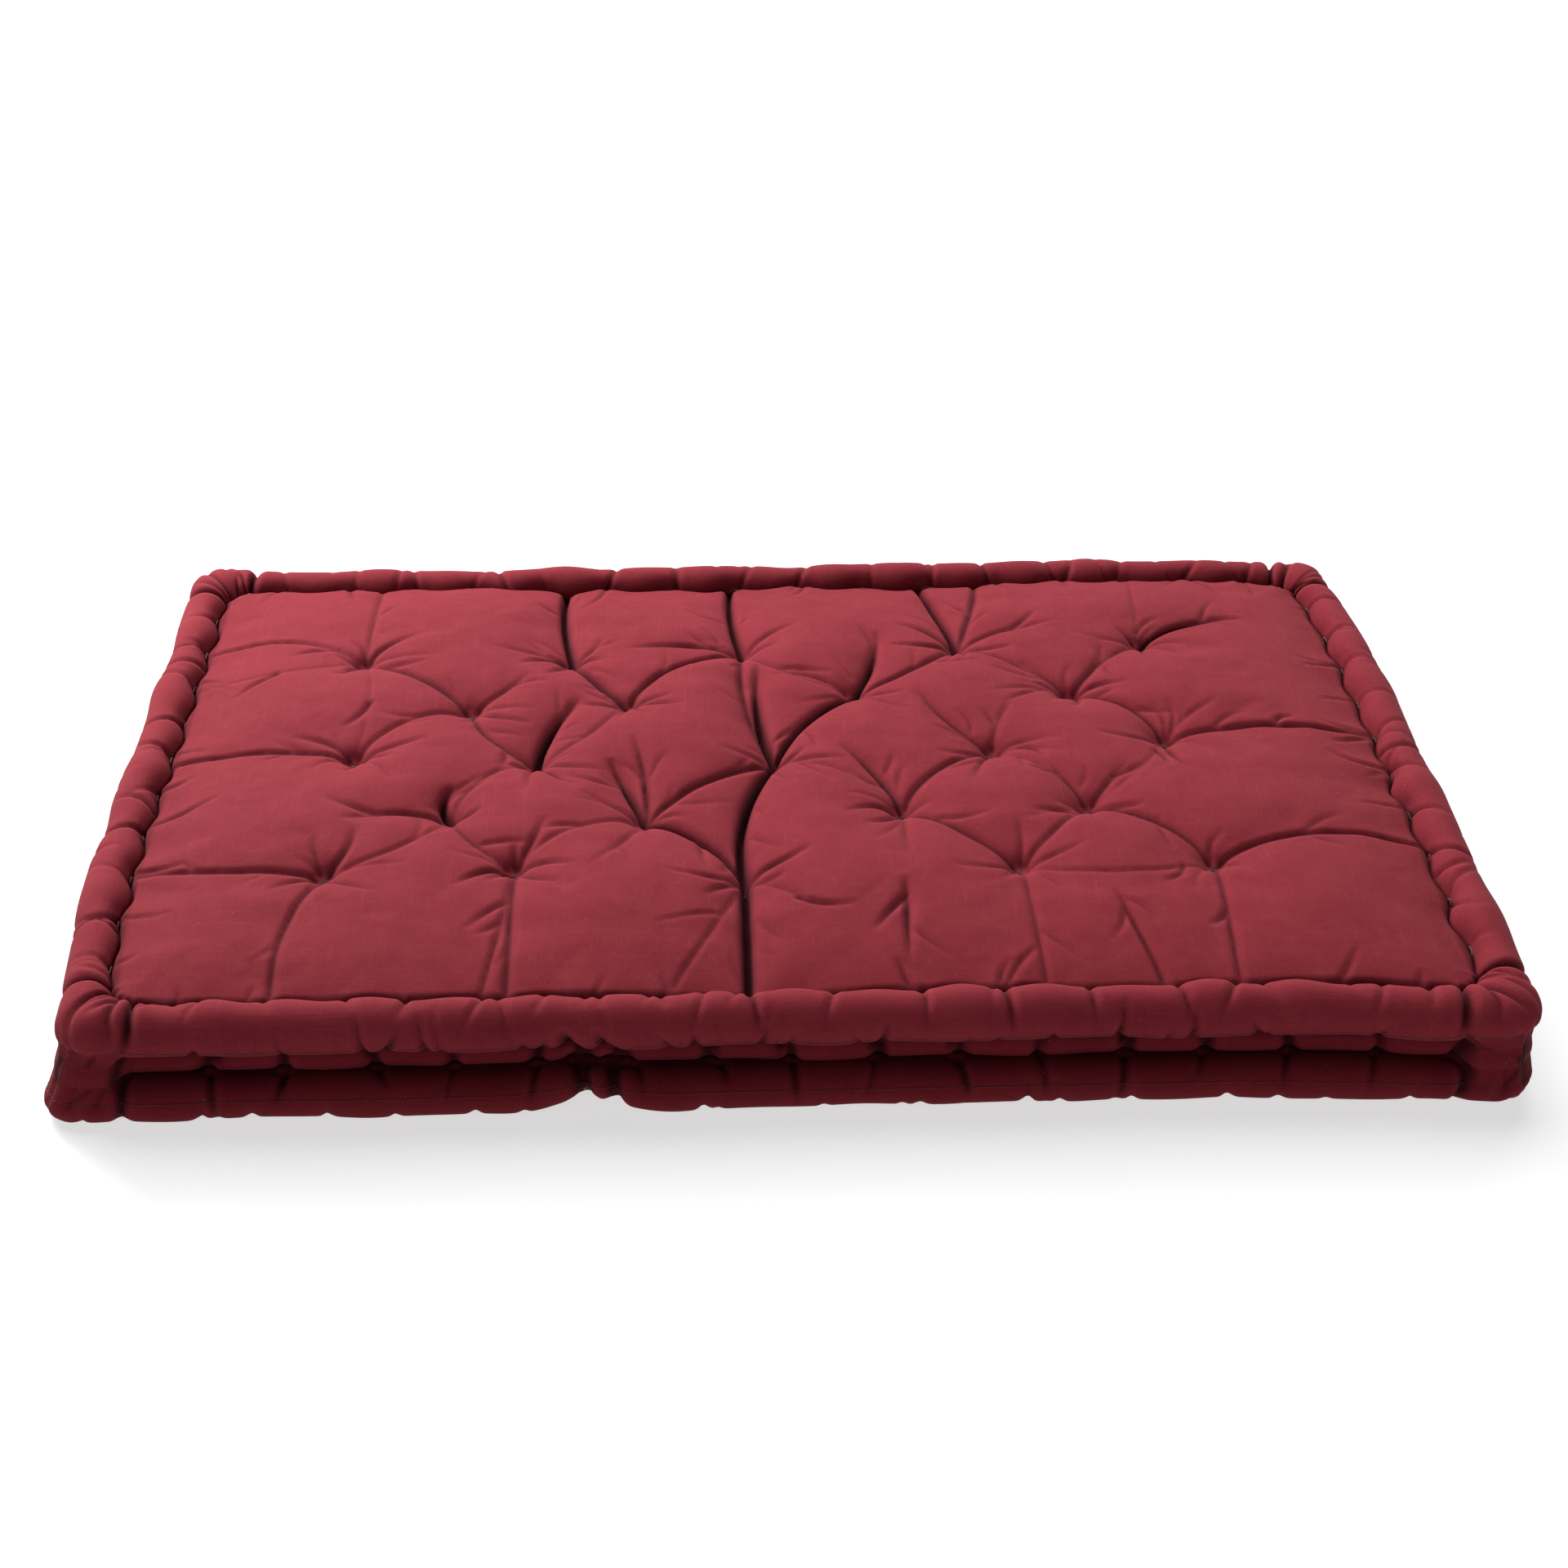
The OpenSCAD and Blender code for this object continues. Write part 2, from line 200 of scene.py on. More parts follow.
class Relief:
    """Height of cloth that swells between the places where it is held down."""

    def __init__(self, u, v, step, wrap=None):
        self.u, self.v = u, v
        self.step, self.wrap = step, wrap
        self.hold = np.zeros(u.shape)
        self.held_height = np.zeros(u.shape)
        self.pinch = np.zeros(u.shape)
        self.creases = []

    def near(self, points, reach):
        """Grid places close to a line: the way to it, where along it and which side."""
        low, high = points.min(0) - reach, points.max(0) + reach
        middle = 0.5 * (low[0] + high[0])
        u = self.u if self.wrap is None else (
            (self.u - middle + self.wrap / 2) % self.wrap - self.wrap / 2 + middle)
        inside = np.where((u > low[0]) & (u < high[0]) & (self.v > low[1]) & (self.v < high[1]))
        here = np.stack([u[inside], self.v[inside]], 1)
        square = ((here[:, None] - points[None]) ** 2).sum(2)
        nearest = square.argmin(1)
        way = np.gradient(points, axis=0)
        way = (way / np.maximum(np.linalg.norm(way, axis=1, keepdims=True), 1e-12))[nearest]
        offset = here - points[nearest]
        slide = np.clip((offset * way).sum(1), -LINE_STEP / 2, LINE_STEP / 2)
        offset -= slide[:, None] * way
        side = np.sign(way[:, 0] * offset[:, 1] - way[:, 1] * offset[:, 0])
        return inside, offset, nearest, side

    def crease(self, points, t, strength, height, free_start=False, free_end=False, lean=0.0,
               width=0.012, fade_part=0.6):
        """Notes a valley along points. Free ends fade out; it is steeper where it leans."""
        fade = np.ones(len(t))
        if free_end:
            fade = fade * np.clip((1 - t) / fade_part, 0, 1) ** 0.7
        if free_start:
            fade = fade * np.clip(t / 0.4, 0, 1) ** 0.7
        self.creases.append((points, fade, strength, height, lean, width))

    def fold(self):
        """Works out, from the noted creases, where and how much the cloth is held."""
        for points, fade, strength, height, lean, width in self.creases:
            inside, offset, nearest, side = self.near(points, 0.030)
            distance, fading = np.hypot(*offset.T), fade[nearest]
            rounded = np.sqrt(distance ** 2 + (0.7 * self.step) ** 2) - 0.3 * self.step
            weight = 0.4 * strength ** 2 * fading * np.exp(-(distance / 0.0035) ** 2)
            self.hold[inside] += weight
            self.held_height[inside] += weight * height
            reach = (0.45 + 0.65 * strength) * width * (1 + 0.55 * lean * side)
            valley = np.clip(1 - rounded / reach, 0, 1) ** 2.0 * fading * strength
            self.pinch[inside] = np.maximum(self.pinch[inside], valley)
        for axis in (0, 1):
            before, after = np.roll(self.pinch, 1, axis), np.roll(self.pinch, -1, axis)
            self.pinch = 0.64 * self.pinch + 0.18 * (before + after)

    def pin(self, point, height, radius, weight=60.0):
        inside, offset, _, _ = self.near(np.array([point, point + 1e-6]), 4 * radius)
        w = weight * np.exp(-(np.hypot(*offset.T) / radius) ** 2)
        self.hold[inside] += w
        self.held_height[inside] += w * height

    def settle(self, full, reach, rounds):
        """Heights that balance the swelling towards full against what holds the cloth down."""
        target = self.held_height / np.maximum(self.hold, 1e-9)
        hold = self.hold * (self.step / HOLD_STEP) ** 2
        stiffness = (self.step / reach) ** 2
        z = full.copy()
        for _ in range(rounds):
            if self.wrap is None:
                padded = np.pad(z, 1, mode="edge")
            else:
                padded = np.pad(np.pad(z, ((1, 1), (0, 0)), mode="edge"), ((0, 0), (1, 1)),
                                mode="wrap")
            z = (sum(neighbours(padded)) + stiffness * full + hold * target) / (
                4 + stiffness + hold)
        return z


def waves(u, v, length, rng, count=24):
    """Smooth random waves of about this length, with a spread of about 1."""
    total = np.zeros(u.shape)
    for _ in range(count):
        angle, phase = rng.uniform(0, 2 * math.pi, 2)
        k = 2 * math.pi / (length * rng.uniform(0.7, 1.6))
        total += np.cos(k * (u * math.cos(angle) + v * math.sin(angle)) + phase)
    return total / math.sqrt(count / 2)


# ---- Grids ----

def quads(rows, columns, wrap=False):
    index = np.arange(rows * columns).reshape(rows, columns)
    if wrap:
        index = np.concatenate([index, index[:, :1]], 1)
    return np.stack([index[:-1, :-1], index[:-1, 1:], index[1:, 1:], index[1:, :-1]],
                    -1).reshape(-1, 4)


def finer(grid, axis, parts, wrap=False):
    """The grid with rows placed smoothly between its own, so that each gap has this many parts."""
    grid = np.moveaxis(grid, axis, 0)
    if wrap:
        ends = np.concatenate([grid[-1:], grid, grid[:2]])
    else:
        ends = np.concatenate([2 * grid[:1] - grid[1:2], grid, 2 * grid[-1:] - grid[-2:-1]])
    before, start, stop, after = ends[:-3], ends[1:-2], ends[2:-1], ends[3:]
    rows = []
    for t in np.arange(parts) / parts:
        cubic = 3 * (start - stop) + after - before
        square = 2 * before - 5 * start + 4 * stop - after
        rows.append(start + 0.5 * t * (stop - before + t * (square + t * cubic)))
    out = np.stack(rows, 1).reshape(-1, *grid.shape[1:])
    if not wrap:
        out = np.concatenate([out, grid[-1:]])
    return np.moveaxis(out, 0, axis)


def make_object(name, points, faces, smooth=True):
    mesh = bpy.data.meshes.new(name)
    faces = [[int(v) for v in face] for face in faces]
    mesh.from_pydata(np.asarray(points, float).tolist(), [], faces)
    mesh.update()
    if smooth:
        mesh.polygons.foreach_set("use_smooth", [True] * len(mesh.polygons))
    obj = bpy.data.objects.new(name, mesh)
    bpy.context.scene.collection.objects.link(obj)
    return obj


def make_sheet(name, grid, wrap=False, flip=False):
    faces = quads(*grid.shape[:2], wrap)
    return make_object(name, grid.reshape(-1, 3), faces[:, ::-1] if flip else faces)


def relax(grid, every, pinned, valley, wrap, pressure, excess, bending):
    """Lets Blender's Cloth settle a sheet that is blown out from inside, and returns its grid.

    The cloth is made of some of the grid's points, and its move is spread over those between.
    Near the valleys the cloth is cut longer by up to excess, so that it puckers there.
    """
    slack = np.clip(0.15 + 2 * valley, 0, 1)
    coarse = grid[::every, ::every]
    sheet = make_sheet("settling_sheet", coarse, wrap, wrap)
    fixed = np.where(pinned[::every, ::every].ravel())[0]
    sheet.vertex_groups.new(name="pinned").add(fixed.tolist(), 1.0, "REPLACE")
    group = sheet.vertex_groups.new(name="slack")
    for v, weight in enumerate(slack[::every, ::every].ravel().tolist()):
        group.add([v], weight, "REPLACE")
    cloth = sheet.modifiers.new("cloth", "CLOTH")
    for setting, value in dict(
            quality=4, mass=0.15, air_damping=2, tension_stiffness=30,
            compression_stiffness=30, shear_stiffness=10, bending_stiffness=bending,
            tension_damping=5, compression_damping=5, shear_damping=5, bending_damping=0.5,
            vertex_group_mass="pinned", use_pressure=True, uniform_pressure_force=pressure,
            vertex_group_shrink="slack", shrink_min=0, shrink_max=-excess).items():
        setattr(cloth.settings, setting, value)
    cloth.settings.effector_weights.gravity = 0
    cloth.collision_settings.use_collision = False
    cloth.collision_settings.use_self_collision = False
    cloth.point_cache.frame_start = 1
    cloth.point_cache.frame_end = SETTLE_FRAMES
    scene = bpy.context.scene
    for f in range(1, SETTLE_FRAMES + 1):
        scene.frame_set(f)
    settled = sheet.evaluated_get(bpy.context.evaluated_depsgraph_get()).data
    out = np.empty(coarse.size)
    settled.vertices.foreach_get("co", out)
    scene.frame_set(1)
    bpy.data.objects.remove(sheet)
    move = out.reshape(coarse.shape) - coarse
    length = np.linalg.norm(move, axis=2, keepdims=True)
    move *= np.minimum(1, SETTLE_CAP / np.maximum(length, 1e-9))
    spread = finer(finer(move, 0, every), 1, every, wrap)
    return grid + spread * (1 - np.clip(1.6 * valley, 0, 1))[..., None]


# ---- The rim: rolled edges and boxing ----

def arc(centre, radius, start, end):
    """Part of the rim's section: centre, radius and two angles, 0 outwards and 90 up."""
    count = 2 * max(1, round(abs(math.radians(end - start)) * radius / RIM_STEP / 2))
    a = np.radians(np.linspace(start, end, count + 1))
    normal = np.stack([np.cos(a), np.sin(a)], 1)
    return np.array(centre) + radius * normal, normal


def rim_section():
    """Points and outward normals down the rim, as (outwards, up), and the rows of its seams."""
    top = (-TOP_ROLL_R, TOP_ROLL_Z)
    middle = (-BOXING_INSET, BOXING_Z)
    bottom = (-BOTTOM_ROLL_R, BOTTOM_ROLL_Z)
    pieces = [arc(top, TOP_ROLL_R, 187, -30), arc(top, TOP_ROLL_R, -30, -125),
              arc(middle, BOXING_R, 114, -98), arc(bottom, BOTTOM_ROLL_R, 112, 20),
              arc(bottom, BOTTOM_ROLL_R, 20, -190)]
    points, normals, rows = [], [], {}
    for name, (p, n) in zip(("top_seam", "top_root", "bottom_root", "bottom_seam", "end"), pieces):
        if points and name in ("bottom_root", "bottom_seam"):
            points.append(0.5 * (points[-1] + p[0]))
            normals.append(normals[-1] + n[0])
            normals[-1] /= np.linalg.norm(normals[-1])
        skip = 1 if name in ("top_root", "end") else 0
        points += list(p[skip:])
        normals += list(n[skip:])
        rows[name] = len(points) - 1
    points, normals = np.array(points), np.array(normals)
    down = np.concatenate([[0], np.cumsum(np.linalg.norm(np.diff(points, axis=0), axis=1))])
    return points, normals, rows, down


def corner_radius(inset):
    return max(0.032 - 0.38 * inset, 0.014)


def corner_path(inset, count):
    """One corner of the ring at this inset, in the corner's own frame, evenly spaced."""
    size, radius = CORNER - inset, corner_radius(inset)
    turn = np.linspace(0, math.pi / 2, 25)
    bend = np.stack([size - radius + radius * np.sin(turn),
                     size - radius + radius * np.cos(turn)], 1)
    path = np.concatenate([[[0, size]], bend, [[size, 0]]])
    facing = np.concatenate([[[0, 1]], np.stack([np.sin(turn), np.cos(turn)], 1), [[1, 0]]])
    run = np.concatenate([[0], np.cumsum(np.linalg.norm(np.diff(path, axis=0), axis=1))])
    at = np.linspace(0, run[-1], count + 1)[:-1]
    return [np.stack([np.interp(at, run, a[:, k]) for k in (0, 1)], 1) for a in (path, facing)]


def side_columns(side):
    """Distance of every column along the straight run of a side."""
    count = 2 * round(SIDE_RUN[side] / RIM_STEP / 2)
    return np.arange(count) * SIDE_RUN[side] / count


def rim_columns():
    """Distance along the rim of every column of the grid."""
    bend = np.arange(CORNER_COLUMNS) * CORNER_RUN / CORNER_COLUMNS
    return np.concatenate([part for side, start in enumerate(SIDE_START) for part in
                           (start + side_columns(side), start + SIDE_RUN[side] + bend)])


def ring(inset):
    """Plan position and outward normal, for every column, of the ring at this inset."""
    places, normals = [], []
    for side, (facing, travel) in enumerate(zip(FACING, TRAVEL)):
        depth = (HALF_Y, HALF_X)[side % 2]
        at = side_columns(side) - SIDE_RUN[side] / 2
        places += list(np.outer(at, travel) + facing * (depth - inset))
        normals += [facing] * len(at)
        path, turned = corner_path(inset, CORNER_COLUMNS)
        origin = travel * SIDE_RUN[side] / 2 + facing * (depth - CORNER)
        places += list(origin + np.outer(path[:, 0], travel) + np.outer(path[:, 1], facing))
        normals += list(np.outer(turned[:, 0], travel) + np.outer(turned[:, 1], facing))
    return np.array(places), np.array(normals, float)


SECTION, SECTION_NORMAL, ROWS, DOWN = rim_section()
ALONG = rim_columns()
# Places down the rim: its two seams and the two roots, where the boxing begins and ends
SEAM, ROOT, BOXING_END, LOW_SEAM, RIM_DEPTH = (
    DOWN[ROWS[name]] for name in ("top_seam", "top_root", "bottom_root", "bottom_seam", "end"))
CORNER_FULLNESS = 0.95
NARROW = (0.0068, 0.45)  # width, and the part of its length over which a pleat fades
SLIM = (0.007, 0.45)
DEEP = (0.011, 0.4)
TIGHT_ROW = 0.6 * RIM_STEP  # a row of the grid that is held lies within this
DEEPEST = -0.0115
TUCK_REACH = 0.0042  # how far the painted shade of a groove or a root spreads over the cloth
BREAK_ALONG = SIDE_START[0] + SIDE_RUN[0] / 2 - 0.170  # the front edge is kinked here


def corner_share(s):
    """1 in the corners of the rim, 0 along its straight runs."""
    share = np.zeros(np.shape(s))
    for start, run in zip(SIDE_START, SIDE_RUN):
        middle = start + run + CORNER_RUN / 2
        away = abs((s - middle + RIM_LENGTH / 2) % RIM_LENGTH - RIM_LENGTH / 2)
        share = np.maximum(share, np.clip((CORNER_RUN / 2 + 0.004 - away) / 0.012, 0, 1))
    return share


def top_roll_pleats(pleat, rng, stitches, between):
    """Pleats of the upper roll."""
    draw = rng.uniform
    # From the groove's stitches over the top of the roll
    for s in stitches + draw(-0.008, 0.008, len(stitches)):
        slant = draw(-0.034, 0.034)
        calm = 1.0 if s < SIDE_RUN[0] else 0.75
        pleat(s, 0.004, draw(0.040, 0.088), slant, calm * draw(0.35, 0.85), *NARROW)
        if rng.random() < 0.5:
            pleat(s, 0.004, draw(0.046, 0.072), -slant * draw(0.5, 1.3), draw(0.3, 0.6), *SLIM)
        if rng.random() < 0.3:
            pleat(s + draw(0.015, 0.045), 0.012, draw(0.050, 0.085),
                  draw(-0.020, 0.020), draw(0.3, 0.6), *SLIM)
    # From under the roll, upwards
    for s in between + draw(-0.018, 0.018, len(between)):
        calm = 1.0 if s < SIDE_RUN[0] else 0.7
        pleat(s, ROOT, SEAM - draw(0.008, 0.050), draw(-0.028, 0.028), calm * draw(0.35, 0.9), *NARROW)
        if rng.random() < 0.7:
            pleat(s + draw(-0.022, 0.022), ROOT, SEAM - draw(0.005, 0.040),
                  draw(-0.022, 0.022), draw(0.3, 0.75), *NARROW)


def boxing_pleats(pleat, rng, between):
    """Pleats of the boxing and the lower roll."""
    draw = rng.uniform
    # Across the boxing, and down over the lower roll
    for s in between + draw(-0.004, 0.004, len(between)):
        middle = 0.5 * (ROOT + BOXING_END)
        deep = draw(0.65, 1.0)
        pleat(s, ROOT, middle + 0.016, draw(-0.006, 0.006), deep, *DEEP)
        pleat(s, BOXING_END, middle - 0.016, draw(-0.006, 0.006), deep, *DEEP)
        pleat(s, BOXING_END, BOXING_END + draw(0.025, 0.075), draw(-0.014, 0.014), draw(0.4, 0.8))
    for s in np.arange(0, RIM_LENGTH, 0.055):
        pleat(s + draw(-0.02, 0.02), RIM_DEPTH - 0.012, LOW_SEAM + draw(-0.012, 0.012),
              draw(-0.008, 0.008), draw(0.3, 0.75))


def kink_pleats(pleat):
    """Deep folds where the front edge is kinked."""
    for s, strength in ((BREAK_ALONG, 1.2), (BREAK_ALONG + 0.026, 1.0)):
        pleat(s, ROOT, SEAM - 0.020, -0.012, strength, 0.012, 0.5)
        pleat(s, BOXING_END - 0.012, RIM_DEPTH - 0.010, 0.006, strength, 0.012, 0.3)
        pleat(s, BOXING_END + 0.010, ROOT - 0.012, 0.004, strength, 0.012, 0.3)


def corner_pleats(pleat, rng):
    """Pleats where each side's rolls turn into the corners."""
    draw = rng.uniform
    for side in range(4):
        for at, sign in ((0, 1), (SIDE_RUN[side], -1)):
            s = SIDE_START[side] + at - 0.004 * sign
            for start, stop, part in ((0.004, SEAM + 0.004, 0.3), (ROOT, BOXING_END + 0.02, 0.3),
                                      (BOXING_END, RIM_DEPTH - 0.030, 0.3)):
                pleat(s, start, stop, 0.010 * sign * rng.random(), 0.9, 0.009, part)
            for _ in range(3):
                pleat(s - sign * draw(0.005, 0.035), 0.006, draw(0.035, 0.09),
                      draw(-0.026, 0.026), draw(0.3, 0.8), 0.0075)
                pleat(s - sign * draw(0.010, 0.040), ROOT, draw(0.050, SEAM),
                      draw(-0.03, 0.03), draw(0.3, 0.8), 0.0075)
                pleat(s - sign * draw(0.005, 0.040), BOXING_END,
                      draw(LOW_SEAM, RIM_DEPTH - 0.03), draw(-0.02, 0.02),
                      draw(0.3, 0.7))


def rim_relief():
    """How far each grid point of the rim stands out from the plain section, with its creases."""
    rng = np.random.default_rng(11)
    relief = Relief(*np.meshgrid(ALONG, DOWN), RIM_STEP, wrap=RIM_LENGTH)
    stitches = np.sort(TOP_STITCHES)
    after = np.roll(stitches, -1)
    after[-1] += RIM_LENGTH
    between = 0.5 * (stitches + after)

    def pleat(s, start, stop, slant, strength, width=0.009, fade_part=0.5):
        line, t = arc_points(np.array([s, start]), np.array([s + slant, stop]),
                             rng.uniform(-0.003, 0.003))
        relief.crease(line, t, strength, -0.001, free_end=True, lean=rng.uniform(-0.9, 0.9),
                      width=width, fade_part=fade_part)

    top_roll_pleats(pleat, rng, stitches, between)
    boxing_pleats(pleat, rng, between)
    kink_pleats(pleat)
    corner_pleats(pleat, rng)
    relief.fold()
    for s in stitches:
        relief.pin(np.array([s, 0.008]), -0.006, 0.009, 3)
    for s in between:
        relief.pin(np.array([s, ROOT]), -0.004, 0.007, 6)
    in_corner = corner_share(relief.u)
    for row in (ROOT, BOXING_END):
        strip = abs(relief.v - row) < TIGHT_ROW
        relief.hold += 0.5 * strip * (1 - 0.75 * in_corner)
    relief.hold[abs(relief.v - SEAM) < TIGHT_ROW] += 0.12
    relief.hold[abs(relief.v - LOW_SEAM) < TIGHT_ROW] += 0.10
    full = np.select([relief.v < ROOT, relief.v < BOXING_END], [0.0015, 0.0008], 0.0010)
    # The roll swells over the groove between its stitches
    since = np.interp(relief.u, np.append(stitches, after[-1]), np.arange(len(stitches) + 1))
    swell = 0.5 - 0.5 * np.cos(2 * math.pi * since)
    size = 0.0036 + 0.0012 * np.sin(1.7 * np.floor(since))
    full += size * (swell - 0.45) * np.clip(1.25 - relief.v / 0.060, 0, 1)
    full += 0.0020 * waves(relief.u, relief.v, 0.11, rng)
    full += 0.0007 * waves(relief.u, relief.v, 0.045, rng)
    out = relief.settle(full, 0.018, 400) - 0.0095 * relief.pinch
    out -= 0.010 * np.clip(relief.pinch - 0.45, 0, 1)
    from_root = np.minimum(abs(relief.v - ROOT), abs(relief.v - BOXING_END))
    out = np.maximum(out, np.where(from_root < TIGHT_ROW, -0.010, -0.002 - 0.3 * from_root))
    out = np.maximum(out, DEEPEST)
    fade_low = np.clip((relief.v - LOW_SEAM - 0.025) / 0.015, 0, 1)
    return relief, out * (1 - 0.6 * fade_low)


RIM_RELIEF, RIM_OUT = rim_relief()


def rim_tucks():
    """How deep in a crease, a groove or a root each point of the rim lies, from 0 to 1, as the mask of
    the painted shade.
    """
    tucks = RIM_RELIEF.pinch.copy()
    for row, strength in ((0, 0.5), (ROWS["top_root"], 1.0), (ROWS["bottom_root"], 1.0)):
        line = strength * np.exp(-((DOWN - DOWN[row]) / TUCK_REACH) ** 2)
        tucks = np.maximum(tucks, line[:, None] * (1 - corner_share(ALONG)))
    return tucks


def rim_grid():
    """The rim's points, rows down the section by columns along the rim."""
    grid = np.empty((len(SECTION), len(ALONG), 3))
    normals = np.empty_like(grid)
    for j, ((outwards, up), normal) in enumerate(zip(SECTION, SECTION_NORMAL)):
        places, facing = ring(-outwards)
        grid[j, :, :2], grid[j, :, 2] = places, up
        normals[j, :, :2], normals[j, :, 2] = facing * normal[0], normal[1]
    grid += normals * RIM_OUT[..., None]
    away = (ALONG - BREAK_ALONG + RIM_LENGTH / 2) % RIM_LENGTH - RIM_LENGTH / 2
    lift = 0.013 * np.exp(-(away / 0.034) ** 2) * np.clip((DOWN[-1] - DOWN) / 0.035, 0, 1)[:, None]
    grid[..., 2] += lift * np.clip(1 - grid[..., 2] / 0.06, 0, 1)
    grid[..., 2] = np.maximum(grid[..., 2], 0.0003)
    # The corners are stuffed full: their cloth runs straight down from the upper roll to the lower
    upper, lower = ROWS["top_seam"], ROWS["bottom_seam"]
    part = ((DOWN[upper:lower + 1] - DOWN[upper]) / (DOWN[lower] - DOWN[upper]))[:, None, None]
    straight = grid[upper] * (1 - part) + grid[lower] * part
    share = CORNER_FULLNESS * corner_share(ALONG)[:, None]
    grid[upper:lower + 1] += share * (straight - grid[upper:lower + 1])
    return grid


def settled_rim():
    grid = rim_grid()
    pinned = np.zeros(grid.shape[:2], bool)
    pinned[[0, -1]] = True
    pinned[ROWS["top_root"]] = pinned[ROWS["bottom_root"]] = True
    return relax(grid, RIM_EVERY, pinned, RIM_RELIEF.pinch, True,
                 pressure=1.0, excess=0.05, bending=0.4)


# ---- The padded top ----

FIELD_X = HALF_X - GROOVE_INSET
FIELD_Y = HALF_Y - GROOVE_INSET
FIELD_CORNER = corner_radius(GROOVE_INSET)
RISE = 0.006  # the padded top comes up out of the groove over this width
FOLLOW = 0.025  # and it follows the groove's wandering over this one


def rounded_grid(half_x, half_y, radius, step):
    """A grid over a rectangle, with its corners drawn in to round ones."""
    x = np.linspace(-half_x, half_x, 6 * round(half_x / step / 3) + 1)
    y = np.linspace(-half_y, half_y, 6 * round(half_y / step / 3) + 1)
    x, y = np.meshgrid(x, y)
    u = np.clip((abs(x) - half_x + radius) / radius, 0, 1)
    v = np.clip((abs(y) - half_y + radius) / radius, 0, 1)
    corner = (u > 0) & (v > 0)
    round_x = np.sign(x) * (half_x - radius + radius * u * np.sqrt(1 - v * v / 2))
    round_y = np.sign(y) * (half_y - radius + radius * v * np.sqrt(1 - u * u / 2))
    return np.where(corner, round_x, x), np.where(corner, round_y, y)


def edge_distance(x, y, half_x, half_y, radius):
    over_x, over_y = abs(x) - half_x + radius, abs(y) - half_y + radius
    outside = np.hypot(np.maximum(over_x, 0), np.maximum(over_y, 0))
    return radius - outside - np.minimum(np.maximum(over_x, over_y), 0)


def rim_column(x, y):
    """The nearest of the rim's columns for each place that is close to the groove."""
    curve = ring(GROOVE_INSET)[0]
    columns = np.empty(len(x), int)
    for part in np.array_split(np.arange(len(x)), 1 + len(x) // 4000):
        square = (x[part, None] - curve[:, 0]) ** 2 + (y[part, None] - curve[:, 1]) ** 2
        columns[part] = square.argmin(1)
    return columns


def shaded_lean(a, b, amount):
    """A lean that makes the side of a crease towards the back left the steep one."""
    left = (a[1] - b[1], b[0] - a[0])
    return amount if left[0] > left[1] else -amount


def short_creases(rng):
    """Short pleats that spread from the tufts, from other creases and from the groove."""
    draw = rng.uniform
    lines = []
    for a, b, bow, strength in FIELD_CREASES:
        line, _ = arc_points(place(a), place(b), bow / 1000)
        for _ in range(2 if strength > 0.4 else 1):
            at = int(len(line) * draw(0.12, 0.75))
            way = line[at + 1] - line[at]
            turn = rng.choice((-1, 1)) * draw(0.35, 0.9)
            heading = math.atan2(way[1], way[0]) + turn
            end = line[at] + draw(0.025, 0.065) * np.array([math.cos(heading),
                                                                   math.sin(heading)])
            lines.append((line[at], end, draw(-0.007, 0.007), draw(0.18, 0.42)))
    for name, centre in TUFTS.items():
        taken = [math.atan2(*(place(b) - place(a))[::-1]) + (math.pi if b == name else 0)
                 for a, b, _, _ in FIELD_CREASES if name in (a, b)]
        for angle in np.arange(0, 2 * math.pi, math.radians(36)) + draw(0, 0.6):
            angle += draw(-0.2, 0.2)
            apart = [abs((angle - a + math.pi) % (2 * math.pi) - math.pi) for a in taken]
            if min(apart, default=9) < math.radians(22):
                continue
            reach = draw(0.030, 0.075)
            end = centre + reach * np.array([math.cos(angle), math.sin(angle)])
            lines.append((centre, end, draw(-0.008, 0.008), draw(0.25, 0.60)))
    for s in TOP_STITCHES:
        side = int(np.searchsorted(SIDE_START, s, side="right")) - 1
        at = s - SIDE_START[side] - SIDE_RUN[side] / 2
        facing, travel = FACING[side], TRAVEL[side]
        start = travel * at + facing * ((FIELD_Y, FIELD_X)[side % 2] + 0.003)
        for _ in range(rng.integers(0, 3)):
            reach = draw(0.018, 0.060)
            end = start - facing * reach + travel * draw(-0.8, 0.8) * reach
            lines.append((start, end, draw(-0.006, 0.006), draw(0.20, 0.50)))
    return lines


